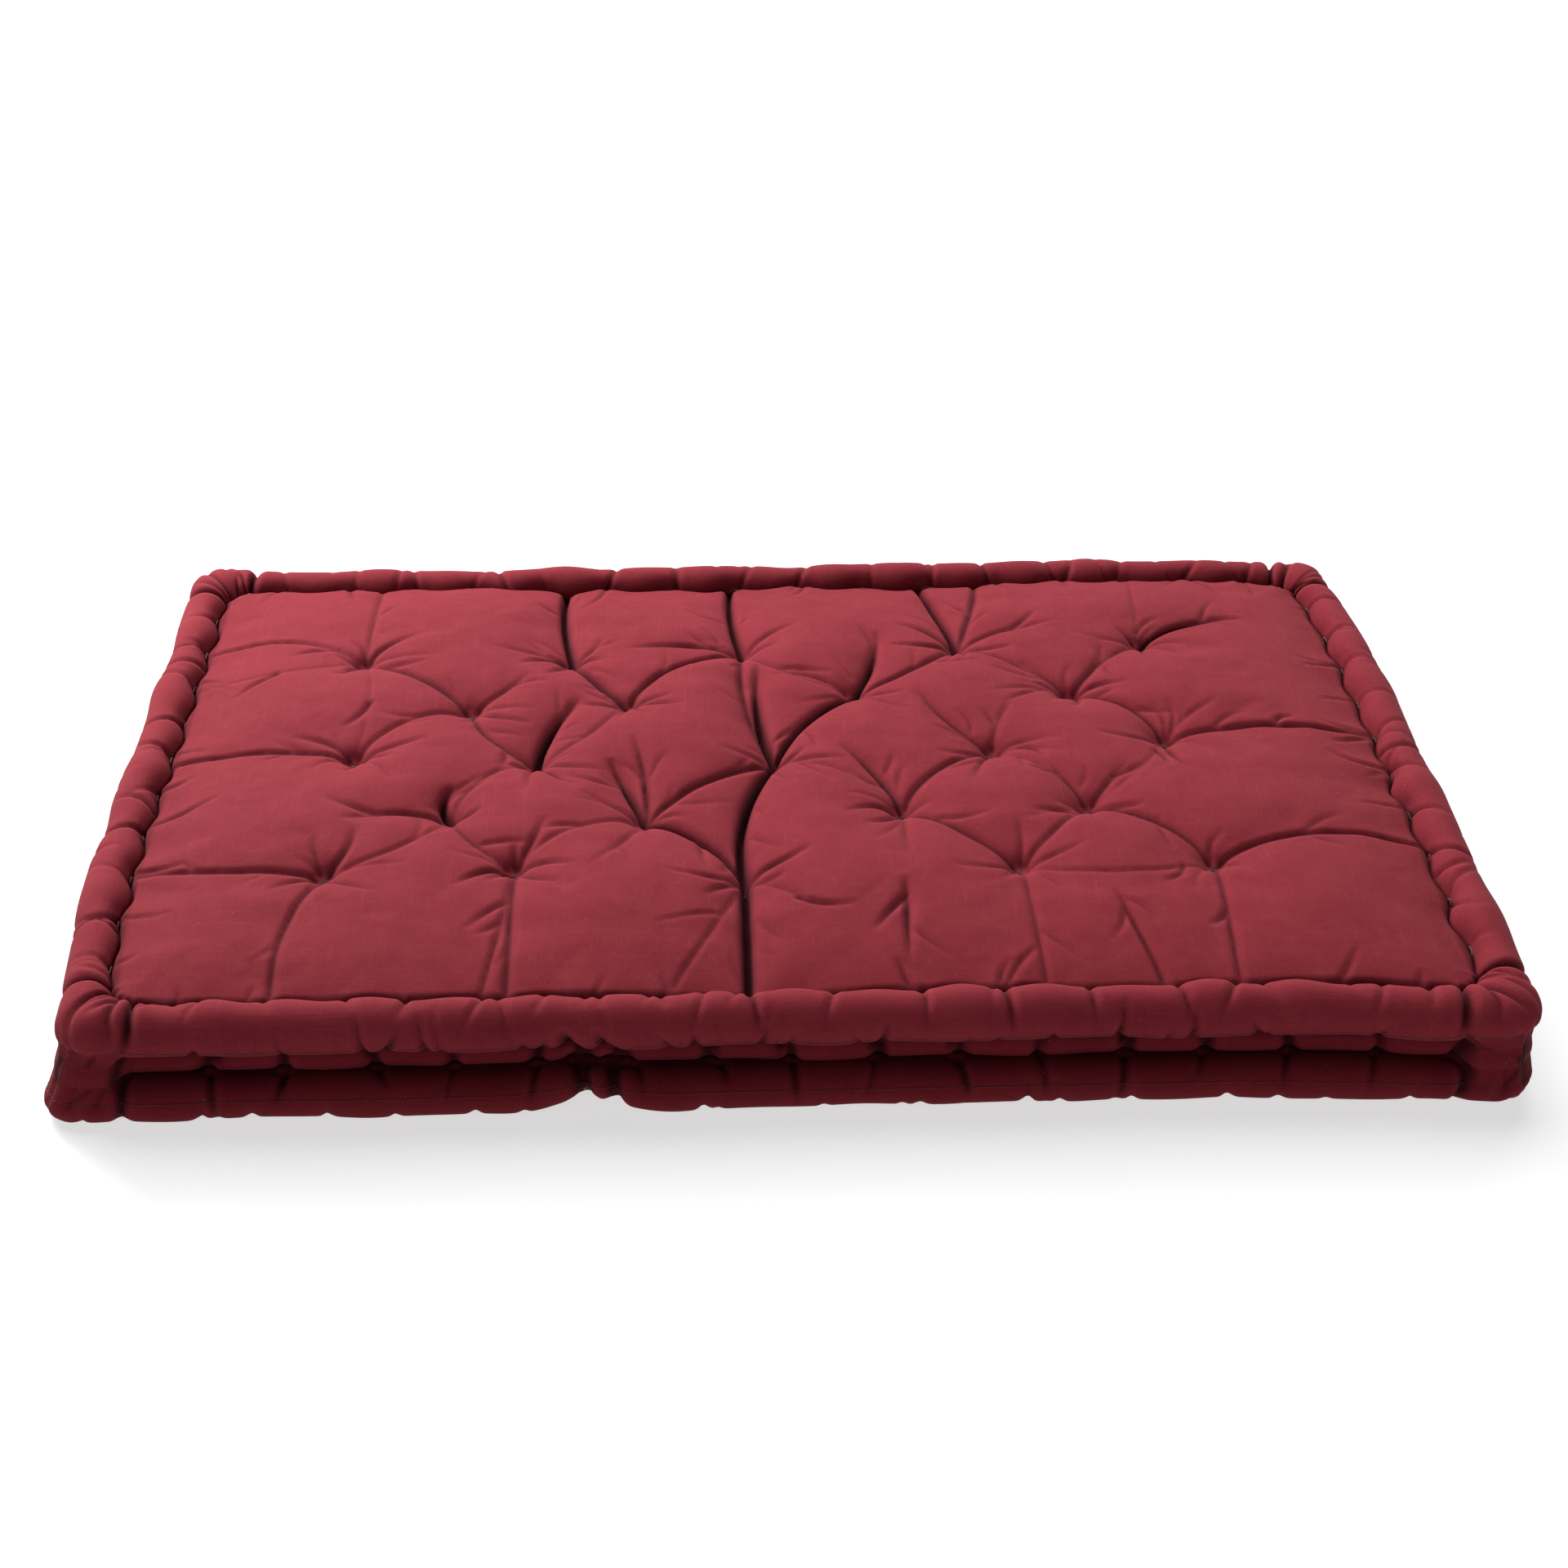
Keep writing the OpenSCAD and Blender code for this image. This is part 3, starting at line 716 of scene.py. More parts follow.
def field_relief(x, y):
    """Heights of the padded top, and its creases."""
    rng = np.random.default_rng(7)
    relief = Relief(x, y, FIELD_STEP)
    for a, b, bow, strength in FIELD_CREASES:
        line, t = arc_points(place(a), place(b), bow / 1000)
        on_edge = not isinstance(b, str) and (abs(b[0]) > 550 or abs(b[1]) > 350)
        relief.crease(line, t, strength, 0.104 - 0.011 * strength,
                      free_start=not isinstance(a, str),
                      free_end=not isinstance(b, str) and not on_edge,
                      lean=shaded_lean(place(a), place(b), rng.uniform(0.4, 0.9)), width=0.0095)
    for a, b, bow, strength in short_creases(rng):
        line, t = arc_points(a, b, bow)
        relief.crease(line, t, strength, 0.106, free_end=True,
                      lean=shaded_lean(a, b, rng.uniform(0.2, 0.8)), width=0.0088)
    relief.fold()
    for centre in TUFTS.values():
        relief.pin(centre, TUFT_Z, 0.0045)
    inwards = edge_distance(x, y, FIELD_X, FIELD_Y, FIELD_CORNER)
    full = CROWN_Z + 0.0020 * waves(x, y, 0.22, rng) - 0.0245 * np.exp(-inwards / 0.080)
    z = relief.settle(full, 0.028, 1100) + 0.0004 * waves(x, y, 0.050, rng)
    z -= 0.0075 * np.exp(-inwards / 0.022)
    return relief, z - 0.0105 * relief.pinch - 0.030 * np.clip(relief.pinch - 0.42, 0, 1)


def field_grid():
    """The padded top. Its border is the rim's first row, and the cloth near it follows."""
    x, y = rounded_grid(FIELD_X, FIELD_Y, FIELD_CORNER, FIELD_STEP)
    relief, z = field_relief(x, y)
    inwards = edge_distance(x, y, FIELD_X, FIELD_Y, FIELD_CORNER)
    close = inwards < FOLLOW
    column = rim_column(x[close], y[close])
    border = rim_grid()[0]
    ease = np.clip(1 - inwards[close] / FOLLOW, 0, 1)
    shape = np.sqrt(np.clip(1 - (1 - np.clip(inwards[close] / RISE, 0, 1)) ** 2, 0, 1))
    z[close] = border[column, 2] + (z[close] - border[column, 2]) * shape
    grid = np.dstack([x, y, z])
    grid[close, :2] += (border[:, :2] - ring(GROOVE_INSET)[0])[column] * ease[:, None]
    return relief, grid


def settled_field():
    relief, grid = field_grid()
    pinned = np.zeros(grid.shape[:2], bool)
    pinned[[0, -1]] = pinned[:, [0, -1]] = True
    coarse = grid[::FIELD_EVERY, ::FIELD_EVERY, :2]
    for centre in TUFTS.values():
        away = np.hypot(*np.moveaxis(coarse - centre, -1, 0))
        i, j = np.unravel_index(away.argmin(), away.shape)
        pinned[FIELD_EVERY * i, FIELD_EVERY * j] = True
    inwards = edge_distance(grid[..., 0], grid[..., 1], FIELD_X, FIELD_Y, FIELD_CORNER)
    # The mask of the painted shade: the creases, and a band along the groove round the border
    tucks = np.maximum(relief.pinch, 0.4 * np.exp(-(np.maximum(inwards, 0) / TUCK_REACH) ** 2))
    return relax(grid, FIELD_EVERY, pinned, relief.pinch, False,
                 pressure=0.8, excess=0.06, bending=0.5), tucks


# ---- The underside ----

def settled_underside():
    half_x, half_y = HALF_X - UNDER_INSET, HALF_Y - UNDER_INSET
    radius = corner_radius(UNDER_INSET)
    x, y = rounded_grid(half_x, half_y, radius, UNDER_STEP)
    rng = np.random.default_rng(19)
    relief = Relief(x, y, UNDER_STEP)
    for a, b, bow, strength in FIELD_CREASES:
        line, t = arc_points(place(a), place(b), -bow / 1000)
        relief.crease(line, t, 0.6 * strength, 0.004, free_end=not isinstance(b, str), width=0.02)
    relief.fold()
    for centre in TUFTS.values():
        relief.pin(centre, 0.0105, 0.007, 40)
    z = relief.settle(np.full(x.shape, -0.001), 0.022, 400) + 0.003 * relief.pinch
    z += 0.0004 * waves(x, y, 0.06, rng)
    inwards = edge_distance(x, y, half_x, half_y, radius)
    shape = np.sqrt(np.clip(1 - (1 - np.clip(inwards / 0.014, 0, 1)) ** 2, 0, 1))
    z = BOTTOM_ROLL_Z + (np.maximum(z, 0.0002) - BOTTOM_ROLL_Z) * shape
    return np.dstack([x, y, z])


# ---- Finishes ----

class Shader:
    """A Principled material with short ways to add and join nodes."""

    def __init__(self, name):
        self.material = bpy.data.materials.new(name)
        self.material.use_nodes = True
        self.tree = self.material.node_tree
        self.principled = self.tree.nodes["Principled BSDF"]

    def node(self, kind, **values):
        node = self.tree.nodes.new(kind)
        for key, value in values.items():
            if hasattr(node, key):
                setattr(node, key, value)
            else:
                node.inputs[key.replace("_", " ")].default_value = value
        return node

    def join(self, source, target):
        self.tree.links.new(source, target)

    def math(self, operation, a, b=None):
        node = self.node("ShaderNodeMath", operation=operation)
        for k, value in enumerate((a, b)):
            if value is None:
                continue
            if isinstance(value, (int, float)):
                node.inputs[k].default_value = value
            else:
                self.join(value, node.inputs[k])
        return node.outputs[0]

    def position(self):
        return self.node("ShaderNodeTexCoord").outputs["Object"]

    def noise(self, scale, detail=2.0, roughness=0.5):
        """Noise at a scale, or one for each axis, in features per metre."""
        mapping = self.node("ShaderNodeMapping")
        mapping.inputs["Scale"].default_value = scale if isinstance(scale, tuple) else (scale,) * 3
        self.join(self.position(), mapping.inputs["Vector"])
        noise = self.node("ShaderNodeTexNoise", Scale=1.0, Detail=detail, Roughness=roughness)
        self.join(mapping.outputs[0], noise.inputs["Vector"])
        return noise.outputs["Fac"]

    def ramp(self, factor, *stops):
        """Stops of a colour, or of a number for a grey: (position, colour)."""
        ramp = self.node("ShaderNodeValToRGB")
        elements = ramp.color_ramp.elements
        while len(elements) < len(stops):
            elements.new(0.5)
        for element, (position, colour) in zip(elements, stops):
            element.position = position
            element.color = (*(colour if isinstance(colour, tuple) else (colour,) * 3), 1)
        self.join(factor, ramp.inputs[0])
        return ramp.outputs[0]

    def mix(self, factor, a, b, blend="MIX"):
        mix = self.node("ShaderNodeMix", data_type="RGBA", blend_type=blend)
        for socket, value in ((mix.inputs[0], factor), (mix.inputs[6], a), (mix.inputs[7], b)):
            if isinstance(value, (int, float)):
                socket.default_value = value
            elif isinstance(value, tuple):
                socket.default_value = (*value, 1)
            else:
                self.join(value, socket)
        return mix.outputs[2]

    def tint(self, colour, amount, low, high, other):
        """The colour, mixed with another one by a ramp of the amount."""
        return self.mix(self.ramp(amount, low, high), colour, other)

    def bump(self, height, distance, strength=1.0, below=None):
        bump = self.node("ShaderNodeBump", Strength=strength, Distance=distance)
        self.join(height, bump.inputs["Height"])
        if below is not None:
            self.join(below, bump.inputs["Normal"])
        return bump.outputs[0]

    def finish(self, colour, roughness, normal, sheen=0.0, sheen_tint=(1, 1, 1)):
        self.join(colour, self.principled.inputs["Base Color"])
        self.join(roughness, self.principled.inputs["Roughness"])
        self.join(normal, self.principled.inputs["Normal"])
        self.principled.inputs["Sheen Weight"].default_value = sheen
        self.principled.inputs["Sheen Roughness"].default_value = 0.6
        self.principled.inputs["Sheen Tint"].default_value = (*sheen_tint, 1)
        self.principled.inputs["Specular IOR Level"].default_value = 0.08
        return self.material


def cover_material():
    """Burgundy plain-weave cotton with slubs, a little faded where it stands proud, with painted shade
    in its creases, grooves and roots and on its lower sides.
    """
    s = Shader("burgundy_cotton")
    # The dark colour of the painted shade in the creases, grooves and roots
    painted_shade_colour = (0.040, 0.0030, 0.0055)
    slubs = [s.noise(scale, 2.0, 0.55)
             for scale in ((18, 520, 520), (520, 18, 520), (520, 520, 18))]
    threads = [s.noise(scale, 1.0)
               for scale in ((200, 2400, 2400), (2400, 200, 2400), (2400, 2400, 200))]
    lines = s.math("MAXIMUM", s.math("MAXIMUM", slubs[0], slubs[1]), slubs[2])
    weave = s.math("ADD", s.math("ADD", threads[0], threads[1]), threads[2])
    cloud = s.noise(7, 3.0)
    mottle = s.noise(60, 3.0, 0.6)
    colour = s.ramp(cloud, (0.30, (0.178, 0.0160, 0.0240)), (0.72, (0.205, 0.0195, 0.0285)))
    colour = s.tint(colour, lines, (0.56, 0), (0.72, 0.34), (0.28, 0.043, 0.056))
    colour = s.tint(colour, weave, (1.30, 0.30), (1.60, 0), (0.120, 0.0085, 0.0140))
    colour = s.tint(colour, mottle, (0.40, 0), (0.75, 0.22), (0.24, 0.030, 0.041))
    pointiness = s.node("ShaderNodeNewGeometry").outputs["Pointiness"]
    colour = s.tint(colour, pointiness, (0.51, 0), (0.57, 0.35), (0.30, 0.046, 0.060))
    # Painted shade: concave creases, found by their pointiness, are darkened
    colour = s.tint(colour, pointiness, (0.435, 0.96), (0.495, 0), painted_shade_colour)
    # Painted shade: the cloth is darkened in its creases, its grooves and the roots of the boxing, and
    # the sides below the top are painted darker than the top
    painted_shade_amount = s.node("ShaderNodeAttribute", attribute_name="painted_shade_amount").outputs["Fac"]
    colour = s.tint(colour, painted_shade_amount, (0.16, 0), (0.62, 0.90), painted_shade_colour)
    place_parts = s.node("ShaderNodeSeparateXYZ")
    s.join(s.position(), place_parts.inputs[0])
    # Painted shade: the sides are darkened below 0.100 m up, and fully below 0.064 m
    low = s.ramp(place_parts.outputs["Z"], (0.064, 1), (0.100, 0))
    colour = s.mix(low, colour, (0.62, 0.42, 0.47), "MULTIPLY")
    lint = s.node("ShaderNodeTexVoronoi", Scale=85.0, feature="F1")
    s.join(s.position(), lint.inputs["Vector"])
    specks = s.ramp(lint.outputs["Distance"], (0.020, 0.7), (0.034, 0))
    chosen = s.ramp(s.noise(37, 0.0), (0.62, 0), (0.66, 1))
    colour = s.mix(s.math("MULTIPLY", specks, chosen), colour, (0.50, 0.28, 0.29))
    roughness = s.math("ADD", s.math("MULTIPLY", weave, 0.10), 0.76)
    normal = s.bump(weave, 0.0003, 0.35)
    normal = s.bump(lines, 0.0004, 0.35, normal)
    normal = s.bump(mottle, 0.0008, 0.25, normal)
    return s.finish(colour, roughness, normal, 0.03, (0.95, 0.35, 0.40))


def fibre_material(name, dark, light, scale):
    """Loose cotton fibre: pale, clumped and matte."""
    s = Shader(name)
    clumps = s.noise(scale, 5.0, 0.65)
    hairs = s.noise((scale * 3, scale * 22, scale * 22), 3.0, 0.7)
    flecks = s.noise(scale * 6, 1.0)
    colour = s.ramp(clumps, (0.3, dark), (0.7, light))
    colour = s.tint(colour, flecks, (0.70, 0), (0.76, 0.6), (0.30, 0.22, 0.13))
    roughness = s.math("ADD", s.math("MULTIPLY", hairs, 0.1), 0.85)
    normal = s.bump(hairs, 0.0008, 0.6, s.bump(clumps, 0.004, 0.7))
    return s.finish(colour, roughness, normal, 0.3)


def twine_material(name, dark, light):
    """Twisted twine: slanting strands, waxed."""
    s = Shader(name)
    wave = s.node("ShaderNodeTexWave", wave_type="BANDS", bands_direction="DIAGONAL", Scale=420.0,
                  Distortion=1.5, Detail=2.0)
    s.join(s.position(), wave.inputs["Vector"])
    strands = wave.outputs["Fac"]
    fuzz = s.noise(900, 2.0)
    colour = s.mix(s.ramp(fuzz, (0.4, 0), (0.8, 0.5)),
                   s.ramp(strands, (0.2, dark), (0.8, light)), light)
    roughness = s.math("ADD", s.math("MULTIPLY", fuzz, 0.2), 0.5)
    return s.finish(colour, roughness, s.bump(strands, 0.0005, 0.8), 0.2)


MATERIALS = {
    "cover_cloth": cover_material(),
    "cotton_batting": fibre_material("cotton_batting", (0.62, 0.57, 0.47), (0.83, 0.79, 0.70), 60),
    "roll_fibre": fibre_material("roll_fibre", (0.52, 0.46, 0.35), (0.74, 0.68, 0.56), 90),
    "tuft_twine": twine_material("tuft_twine", (0.030, 0.004, 0.006), (0.085, 0.014, 0.020)),
    "stitch_twine": twine_material("stitch_twine", (0.05, 0.010, 0.014), (0.15, 0.055, 0.062)),
    "seam_thread": twine_material("seam_thread", (0.022, 0.002, 0.004), (0.060, 0.007, 0.011)),
}


# The hand-made corners stray from the pattern: corner, and its move at the floor and at the top
# roll, in mm
STRAYS = [((-1, -1), (-8, -2), (19, 3)), ((1, -1), (2, -15), (-1, -16)),
          ((1, 1), (-6, 0), (-14, -8)), ((-1, 1), (0, 3), (-2, 12))]
STRAY_REACH = 0.13


def stray(obj):
    """Moves the points of a piece near the corners, by as much as the corners stray."""
    points = np.array([v.co[:] for v in obj.data.vertices])
    height = np.clip(points[:, 2:] / 0.09, 0, 1)
    for corner, low, high in STRAYS:
        away = points[:, :2] - np.array(corner) * (HALF_X, HALF_Y)
        near = np.exp(-(np.hypot(*away.T) / STRAY_REACH) ** 2)[:, None]
        points[:, :2] += near * (np.array(low) * (1 - height) + np.array(high) * height) / 1000
    obj.data.vertices.foreach_set("co", points.ravel())
    obj.data.update()


def dress(obj, slot, node):
    """Moves a piece with the straying corners, gives it its material, puts it under the root body and
    hides the CAD part that it replaces.
    """
    stray(obj)
    obj.data.materials.append(MATERIALS[slot])
    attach(obj, "root")
    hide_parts(node)


# ---- Cover pieces ----

RIM = settled_rim()
RIM_TUCKS = rim_tucks()
FIELD, FIELD_TUCKS = settled_field()
UNDERSIDE = settled_underside()
# Columns of the rim in the middle of each corner: after the front, right, back and left sides
MIDDLES = [int(np.searchsorted(ALONG, start + run + CORNER_RUN / 2))
           for start, run in zip(SIDE_START, SIDE_RUN)]


def note_tucks(obj, tucks):
    """Writes on each point how deep it lies in a crease, a groove or a root, as the mask of the
    painted shade.
    """
    layer = obj.data.attributes.new("painted_shade_amount", "FLOAT", "POINT")
    layer.data.foreach_set("value", np.ravel(tucks).astype(np.float32))
    return obj


def rim_part(name, top, bottom, first=None, last=None):
    """A piece of the rim between two rows and, unless it goes all round, two columns."""
    whole = first is None
    columns = np.arange(RIM.shape[1]) if whole else np.arange(first, last + 1) % RIM.shape[1]
    part = RIM[top:bottom + 1, columns]
    return note_tucks(make_sheet(name, part, whole, True), RIM_TUCKS[top:bottom + 1, columns])


def make_cover():
    field = note_tucks(make_sheet("top_panel_field", FIELD), FIELD_TUCKS)
    dress(field, "cover_cloth", "top_panel")
    roll = rim_part("top_panel_rolled_edge", 0, ROWS["top_seam"])
    dress(roll, "cover_cloth", "top_panel")
    low = rim_part("bottom_panel_rolled_edge", ROWS["bottom_seam"], len(RIM) - 1)
    dress(low, "cover_cloth", "bottom_panel")
    under = make_sheet("bottom_panel_field", UNDERSIDE, flip=True)
    dress(under, "cover_cloth", "bottom_panel")
    for i, side in enumerate(SIDES):
        first = MIDDLES[i - 1] - (RIM.shape[1] if i == 0 else 0)
        strip = rim_part("boxing_cloth_" + side, ROWS["top_seam"], ROWS["bottom_seam"],
                         first, MIDDLES[i])
        dress(strip, "cover_cloth", "boxing_" + side)


make_cover()


# ---- Filling ----

def sampled(surface, x, y):
    """Height of a cover sheet above plan places. Its grid starts at the front left corner."""
    rows, columns = surface.shape[:2]
    half_x, half_y = surface[rows // 2, -1, 0], surface[-1, columns // 2, 1]
    i = np.clip((y / half_y + 1) / 2 * (rows - 1), 0, rows - 1.001)
    j = np.clip((x / half_x + 1) / 2 * (columns - 1), 0, columns - 1.001)
    i0, j0 = i.astype(int), j.astype(int)
    fi, fj = i - i0, j - j0
    z = surface[..., 2]
    front = z[i0, j0] * (1 - fj) + z[i0, j0 + 1] * fj
    back = z[i0 + 1, j0] * (1 - fj) + z[i0 + 1, j0 + 1] * fj
    return front * (1 - fi) + back * fi


def smallest_near(values, reach):
    """Each value replaced by the smallest within reach of it, over both directions of a grid."""
    for _ in range(reach):
        padded = np.pad(values, ((1, 1), (1, 1), (0, 0)), mode="edge")
        values = np.min([*neighbours(padded), values], axis=0)
    return values


def closed_pad(top, bottom):
    """A pad from its top and bottom sheets, joined round the edge."""
    rows, columns = top.shape[:2]
    index = np.arange(rows * columns).reshape(rows, columns)
    below = rows * columns
    border = np.concatenate([index[0, :-1], index[:-1, -1], index[-1, :0:-1], index[:0:-1, 0]])
    after = np.roll(border, -1)
    faces = [quads(rows, columns), quads(rows, columns)[:, ::-1] + below,
             np.stack([after, border, border + below, after + below], 1)]
    return np.concatenate([top.reshape(-1, 3), bottom.reshape(-1, 3)]), np.concatenate(faces)


def make_batting():
    """Six layers of wadding that fill the space between the cover's top and underside."""
    cover = np.dstack([FIELD[..., :2], smallest_near(FIELD[..., 2:], 3)])
    for k, inset in enumerate((0.046, 0.052, 0.053, 0.054, 0.054, 0.054)):
        rng = np.random.default_rng(40 + k)
        half_x, half_y = HALF_X - inset, HALF_Y - inset
        x, y = rounded_grid(half_x, half_y, 0.030, 0.010)
        inwards = edge_distance(x, y, half_x, half_y, 0.030)
        ease = np.sqrt(np.clip(inwards / 0.030, 0, 1))
        low = 0.006 + (sampled(UNDERSIDE, x, y) - 0.0045) * ease
        high = 0.074 + (sampled(cover, x, y) - 0.077) * ease
        bottom = low + (high - low) * k / 6 + 0.0004
        top = low + (high - low) * (k + 1) / 6 - 0.0004
        bulge = np.sqrt(np.clip(1 - (1 - np.clip(inwards / 0.008, 0, 1)) ** 2, 0.02, 1))
        middle, half = 0.5 * (top + bottom), 0.5 * (top - bottom) * bulge
        lumps = 0.0004 * waves(x, y, 0.05, rng) * ease
        points, faces = closed_pad(np.dstack([x, y, middle + half + lumps - 0.0004]),
                                   np.dstack([x, y, middle - half + lumps + 0.0004]))
        node = f"batting_layer_{k + 1}"
        dress(make_object(node + "_wadding", points, faces), "cotton_batting", node)


def make_roll_fillings():
    """Fibre ropes in both rolls, one along each side, meeting in the corners."""
    for level, inset, height, rows in (
            ("top", TOP_ROLL_R, TOP_ROLL_Z, (0, ROWS["top_root"])),
            ("bottom", BOTTOM_ROLL_R, BOTTOM_ROLL_Z, (ROWS["bottom_root"], len(RIM) - 1))):
        centres = np.column_stack([ring(inset)[0], np.full(len(ALONG), height)])
        cover = RIM[rows[0]:rows[1] + 1:3]
        for i, side in enumerate(SIDES):
            columns = np.arange(MIDDLES[i - 1] + 1 - (len(ALONG) if i == 0 else 0),
                                MIDDLES[i], 3) % len(ALONG)
            core = centres[columns]
            away = cover[:, columns] - core
            radius = np.linalg.norm(away, axis=2, keepdims=True)
            rope = core + away / radius * np.maximum(0.85 * smallest_near(radius, 2) - 0.003, 0.003)
            loops, length = rope.shape[:2]
            index = np.arange(loops * length).reshape(loops, length)
            around = np.concatenate([index, index[:1]])
            faces = list(np.stack([around[:-1, :-1], around[1:, :-1], around[1:, 1:],
                                   around[:-1, 1:]], -1).reshape(-1, 4))
            ends = len(rope.reshape(-1, 3))
            caps = [(ends, around[a, 0], around[a + 1, 0]) for a in range(loops)]
            caps += [(ends + 1, around[a + 1, -1], around[a, -1]) for a in range(loops)]
            points = np.concatenate([rope.reshape(-1, 3), core[[0, -1]]])
            node = f"{level}_roll_filling_{side}"
            dress(make_object(node + "_fibre", points, faces + caps), "roll_fibre", node)


# ---- Twine and thread ----

def tube(path, radius, sides=6, plies=0, lay=0.006):
    """A round or plied tube along a path, with domed ends."""
    path = np.asarray(path, float)
    way = np.gradient(path, axis=0)
    way /= np.linalg.norm(way, axis=1, keepdims=True)
    across = np.cross(way[0], (0.31, 0.83, 0.46))
    frame_x = []
    for w in way:
        across = across - w * across.dot(w)
        across = across / np.linalg.norm(across)
        frame_x.append(across)
    frame_x = np.array(frame_x)
    frame_y = np.cross(way, frame_x)
    run = np.concatenate([[0], np.cumsum(np.linalg.norm(np.diff(path, axis=0), axis=1))])
    angle = np.arange(sides) * 2 * math.pi / sides
    turn = 2 * math.pi * run[:, None] / lay
    bulge = 1 + 0.16 * np.cos(plies * (angle - turn)) if plies else 1
    taper = np.ones(len(path))
    taper[[0, -1]] = 0.5
    r = (radius * taper)[:, None] * bulge
    ring_points = (path[:, None] + (r * np.cos(angle))[..., None] * frame_x[:, None]
                   + (r * np.sin(angle))[..., None] * frame_y[:, None])
    faces = quads(len(path), sides, wrap=True)
    count = len(path) * sides
    first = [(count, (a + 1) % sides, a) for a in range(sides)]
    last = [(count + 1, count - sides + a, count - sides + (a + 1) % sides) for a in range(sides)]
    tips = [path[0] - 0.5 * radius * way[0], path[-1] + 0.5 * radius * way[-1]]
    return np.concatenate([ring_points.reshape(-1, 3), tips]), list(faces) + first + last


def joined(parts):
    points, faces, count = [], [], 0
    for p, f in parts:
        points.append(p)
        faces += [[v + count for v in face] for face in f]
        count += len(p)
    return np.concatenate(points), faces


def knot(centre, size, radius, turn):
    """A small trefoil of twine, flattened."""
    t = np.linspace(0, 2 * math.pi, 37)
    x = np.sin(t) + 2 * np.sin(2 * t)
    y = np.cos(t) - 2 * np.cos(2 * t)
    z = -np.sin(3 * t)
    path = np.column_stack([x * math.cos(turn) - y * math.sin(turn),
                            x * math.sin(turn) + y * math.cos(turn), 1.3 * z]) * size / 3
    return tube(path + centre, radius, 8, 2)


def make_tuft_ties():
    """A tie to each tuft: two legs of twine through the mattress and a knot at each end."""
    rng = np.random.default_rng(23)
    for row, letter in enumerate("EDCBA", 1):
        parts = []
        for name, centre in TUFTS.items():
            if name[0] != letter:
                continue
            top = float(sampled(FIELD, *centre[:, None])[0]) - 0.0008
            bottom = float(sampled(UNDERSIDE, *centre[:, None])[0])
            turn = rng.uniform(0, 2 * math.pi)
            aside = 0.0014 * np.array([math.cos(turn), math.sin(turn), 0])
            low = np.array([*centre, bottom])
            high = np.array([*centre, top])
            for sign in (-1, 1):
                t = np.linspace(0, 1, 60)[:, None]
                sway = 0.0006 * np.sin(7 * t + rng.uniform(0, 6)) * np.sin(math.pi * t)
                parts.append(tube(low + (high - low) * t + sign * aside + sway,
                                  0.0011, 8, 2))
            parts.append(knot(high, 0.0026, 0.0009, turn))
            parts.append(knot(low, 0.0026, 0.0009, -turn))
        node = f"tuft_ties_row_{row}"
        dress(make_object(node + "_twine", *joined(parts)), "tuft_twine", node)


def rim_at(row, s):
    """The rim's surface at a row, at a distance along the rim."""
    columns = np.append(ALONG, RIM_LENGTH)
    at = np.interp(s % RIM_LENGTH, columns, np.arange(len(columns)))
    first = int(at) % RIM.shape[1]
    part = at - int(at)
    return RIM[row, first] * (1 - part) + RIM[row, (first + 1) % RIM.shape[1]] * part


def bar(start, end, rise, direction, count=12):
    t = np.linspace(0, 1, count)[:, None]
    return start + (end - start) * t + rise * np.sin(math.pi * t) * np.asarray(direction)


def make_roll_stitches():
    """Each stitch of a roll: a bar along the groove, and a leg through to the roll's root."""
    rng = np.random.default_rng(29)
    for level, groove, root in (("top", 3, ROWS["top_root"]),
                                ("bottom", len(RIM) - 3, ROWS["bottom_root"])):
        up = (0, 0, 1) if level == "top" else (0, 0, -0.2)
        parts = []
        for s in TOP_STITCHES:
            half = rng.uniform(0.0045, 0.0065)
            start, end = rim_at(groove, s - half), rim_at(groove, s + half)
            parts.append(tube(bar(start, end, 0.0018, up), 0.0008, 8, 2, 0.004))
            for at, sign in ((start, -1), (end, 1)):
                leg = bar(at, rim_at(root, s + sign * half), 0.0, up, 20)
                parts.append(tube(leg, 0.0007, 6, 2, 0.004))
        node = f"{level}_roll_stitches"
        dress(make_object(node + "_twine", *joined(parts)), "stitch_twine", node)


def make_seam_threads():
    """Small stitches along both long seams and up the four corner seams."""
    for level in ("top", "bottom"):
        row = ROWS[level + "_seam"]
        count = round(RIM_LENGTH / 0.0042)
        parts = []
        for k in range(count):
            s = k * RIM_LENGTH / count
            start, end = rim_at(row, s + 0.0004), rim_at(row, s + 0.0035)
            travel = end - start
            facing = np.array([travel[1], -travel[0], 0]) / max(np.hypot(*travel[:2]), 1e-9)
            parts.append(tube(bar(start, end, 0.0003, facing, 5), 0.00040, 5))
        node = f"{level}_seam_thread"
        dress(make_object(node + "_stitches", *joined(parts)), "seam_thread", node)
    parts = []
    for column in MIDDLES:
        strip = RIM[ROWS["top_root"]:ROWS["bottom_root"] + 1, column % RIM.shape[1]]
        outwards = np.array([*np.sign(strip[0, :2]), 0]) / math.sqrt(2)
        for a in range(0, len(strip) - 2, 2):
            start, end = strip[a], strip[a] * 0.3 + strip[a + 2] * 0.7
            parts.append(tube(bar(start, end, 0.0005, outwards, 5), 0.00042, 5))
    obj = make_object("corner_seam_threads_stitches", *joined(parts))
    dress(obj, "seam_thread", "corner_seam_threads")


make_batting()
make_roll_fillings()
make_tuft_ties()
make_roll_stitches()
make_seam_threads()

# ---- Floor, light and camera ----

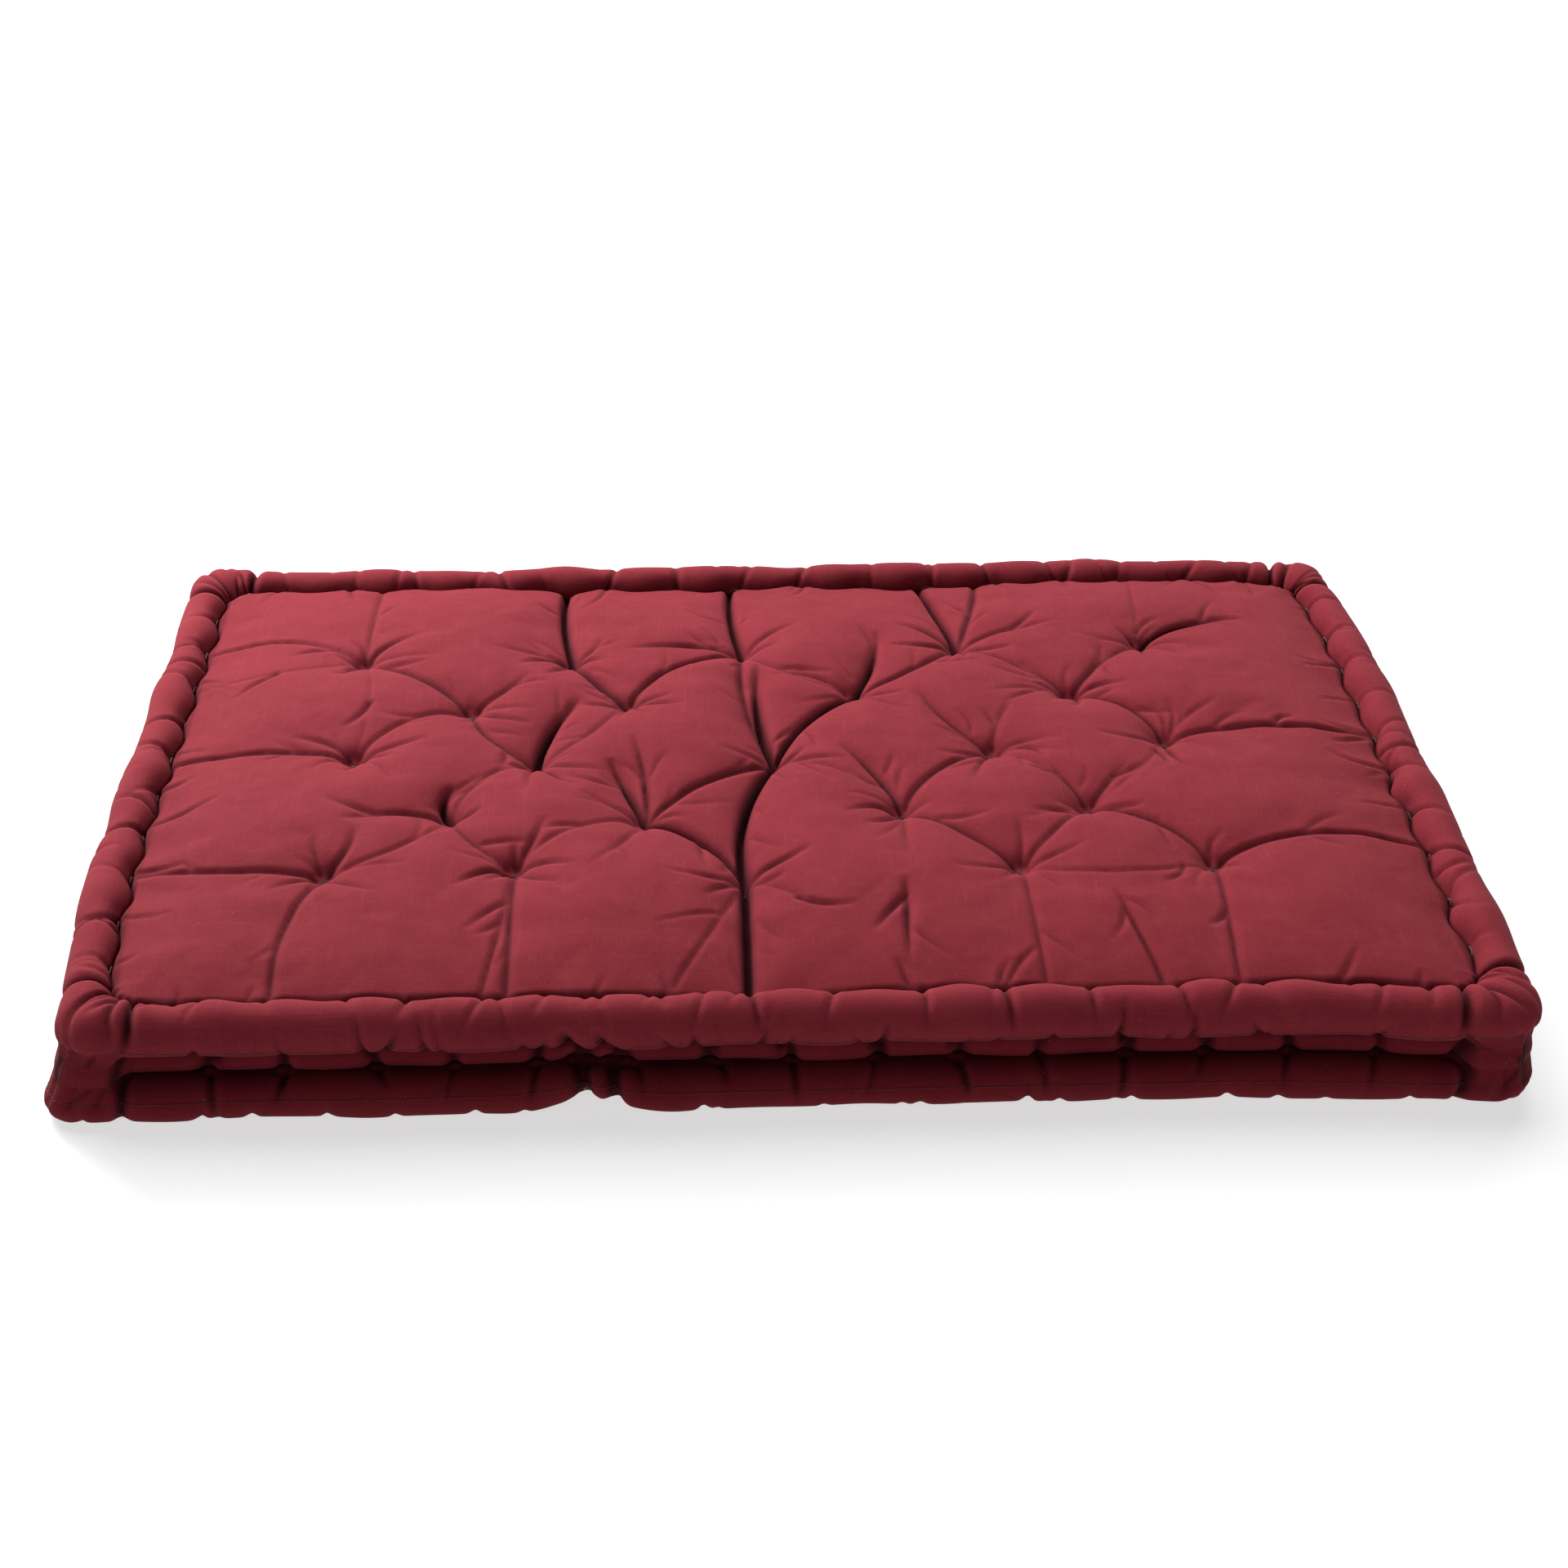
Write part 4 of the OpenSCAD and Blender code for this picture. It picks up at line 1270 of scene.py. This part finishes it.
def make_floor():
    size, z = 20, -0.0006
    points = [(-size, -size, z), (size, -size, z), (size, size, z), (-size, size, z)]
    floor = make_object("floor", points, [(0, 1, 2, 3)], smooth=False)
    s = Shader("pale_floor")
    grain = s.noise(3, 2.0)
    colour = s.ramp(grain, (0.3, 0.36), (0.7, 0.38))
    s.principled.inputs["Emission Color"].default_value = (1, 1, 1, 1)
    s.principled.inputs["Emission Strength"].default_value = 0.64
    floor.data.materials.append(s.finish(colour, s.math("ADD", grain, 0.3), s.bump(grain, 0.0001)))


def make_world():
    world = bpy.data.worlds.new("studio")
    world.use_nodes = True
    background = world.node_tree.nodes["Background"]
    tree = world.node_tree
    direction = tree.nodes.new("ShaderNodeTexCoord")
    parts = tree.nodes.new("ShaderNodeSeparateXYZ")
    ramp = tree.nodes.new("ShaderNodeValToRGB")
    tree.links.new(direction.outputs["Generated"], parts.inputs[0])
    tree.links.new(parts.outputs["Z"], ramp.inputs[0])
    tree.links.new(ramp.outputs[0], background.inputs["Color"])
    # Pale at the horizon, and dim above it
    for element, height, grey in zip(ramp.color_ramp.elements, (0.10, 0.17), (0.90, 0.03)):
        element.position, element.color = height, (grey, grey, grey, 1)
    background.inputs["Strength"].default_value = 1.0
    bpy.context.scene.world = world


def make_lights():
    """Lamps aimed at the origin: name, kind, power, angle or size, and place."""
    for name, kind, power, spread, at in (
            ("even", "SUN", 3.30, math.radians(50), (-0.7, 1.3, 2.1)),
            ("key", "AREA", 58, 0.9, (-1.3, 1.2, 1.15)),
            ("side", "AREA", 20, 0.9, (1.3, 1.5, 1.0)),
            ("fill", "SUN", 0.38, math.radians(60), (-0.6, -2.0, 1.2))):
        light = bpy.data.lights.new(name, kind)
        light.energy = power
        setattr(light, "angle" if kind == "SUN" else "size", spread)
        lamp = bpy.data.objects.new(name, light)
        lamp.location = at
        lamp.rotation_euler = (-Vector(at)).to_track_quat("-Z", "Y").to_euler()
        bpy.context.scene.collection.objects.link(lamp)


def make_camera():
    azimuth, elevation, distance = math.radians(-1.9), math.radians(31.3), 2.27
    target = Vector((0.004, -0.051, 0.10))
    back = Vector((math.sin(azimuth) * math.cos(elevation),
                   -math.cos(azimuth) * math.cos(elevation), math.sin(elevation)))
    data = bpy.data.cameras.new("camera")
    data.lens = 57.7
    data.sensor_width = 36
    camera = bpy.data.objects.new("camera", data)
    camera.location = target + distance * back
    camera.rotation_euler = (-back).to_track_quat("-Z", "Y").to_euler()
    bpy.context.scene.collection.objects.link(camera)
    bpy.context.scene.camera = camera


make_floor()
make_world()
make_lights()
make_camera()
bpy.context.scene.view_settings.view_transform = "Standard"
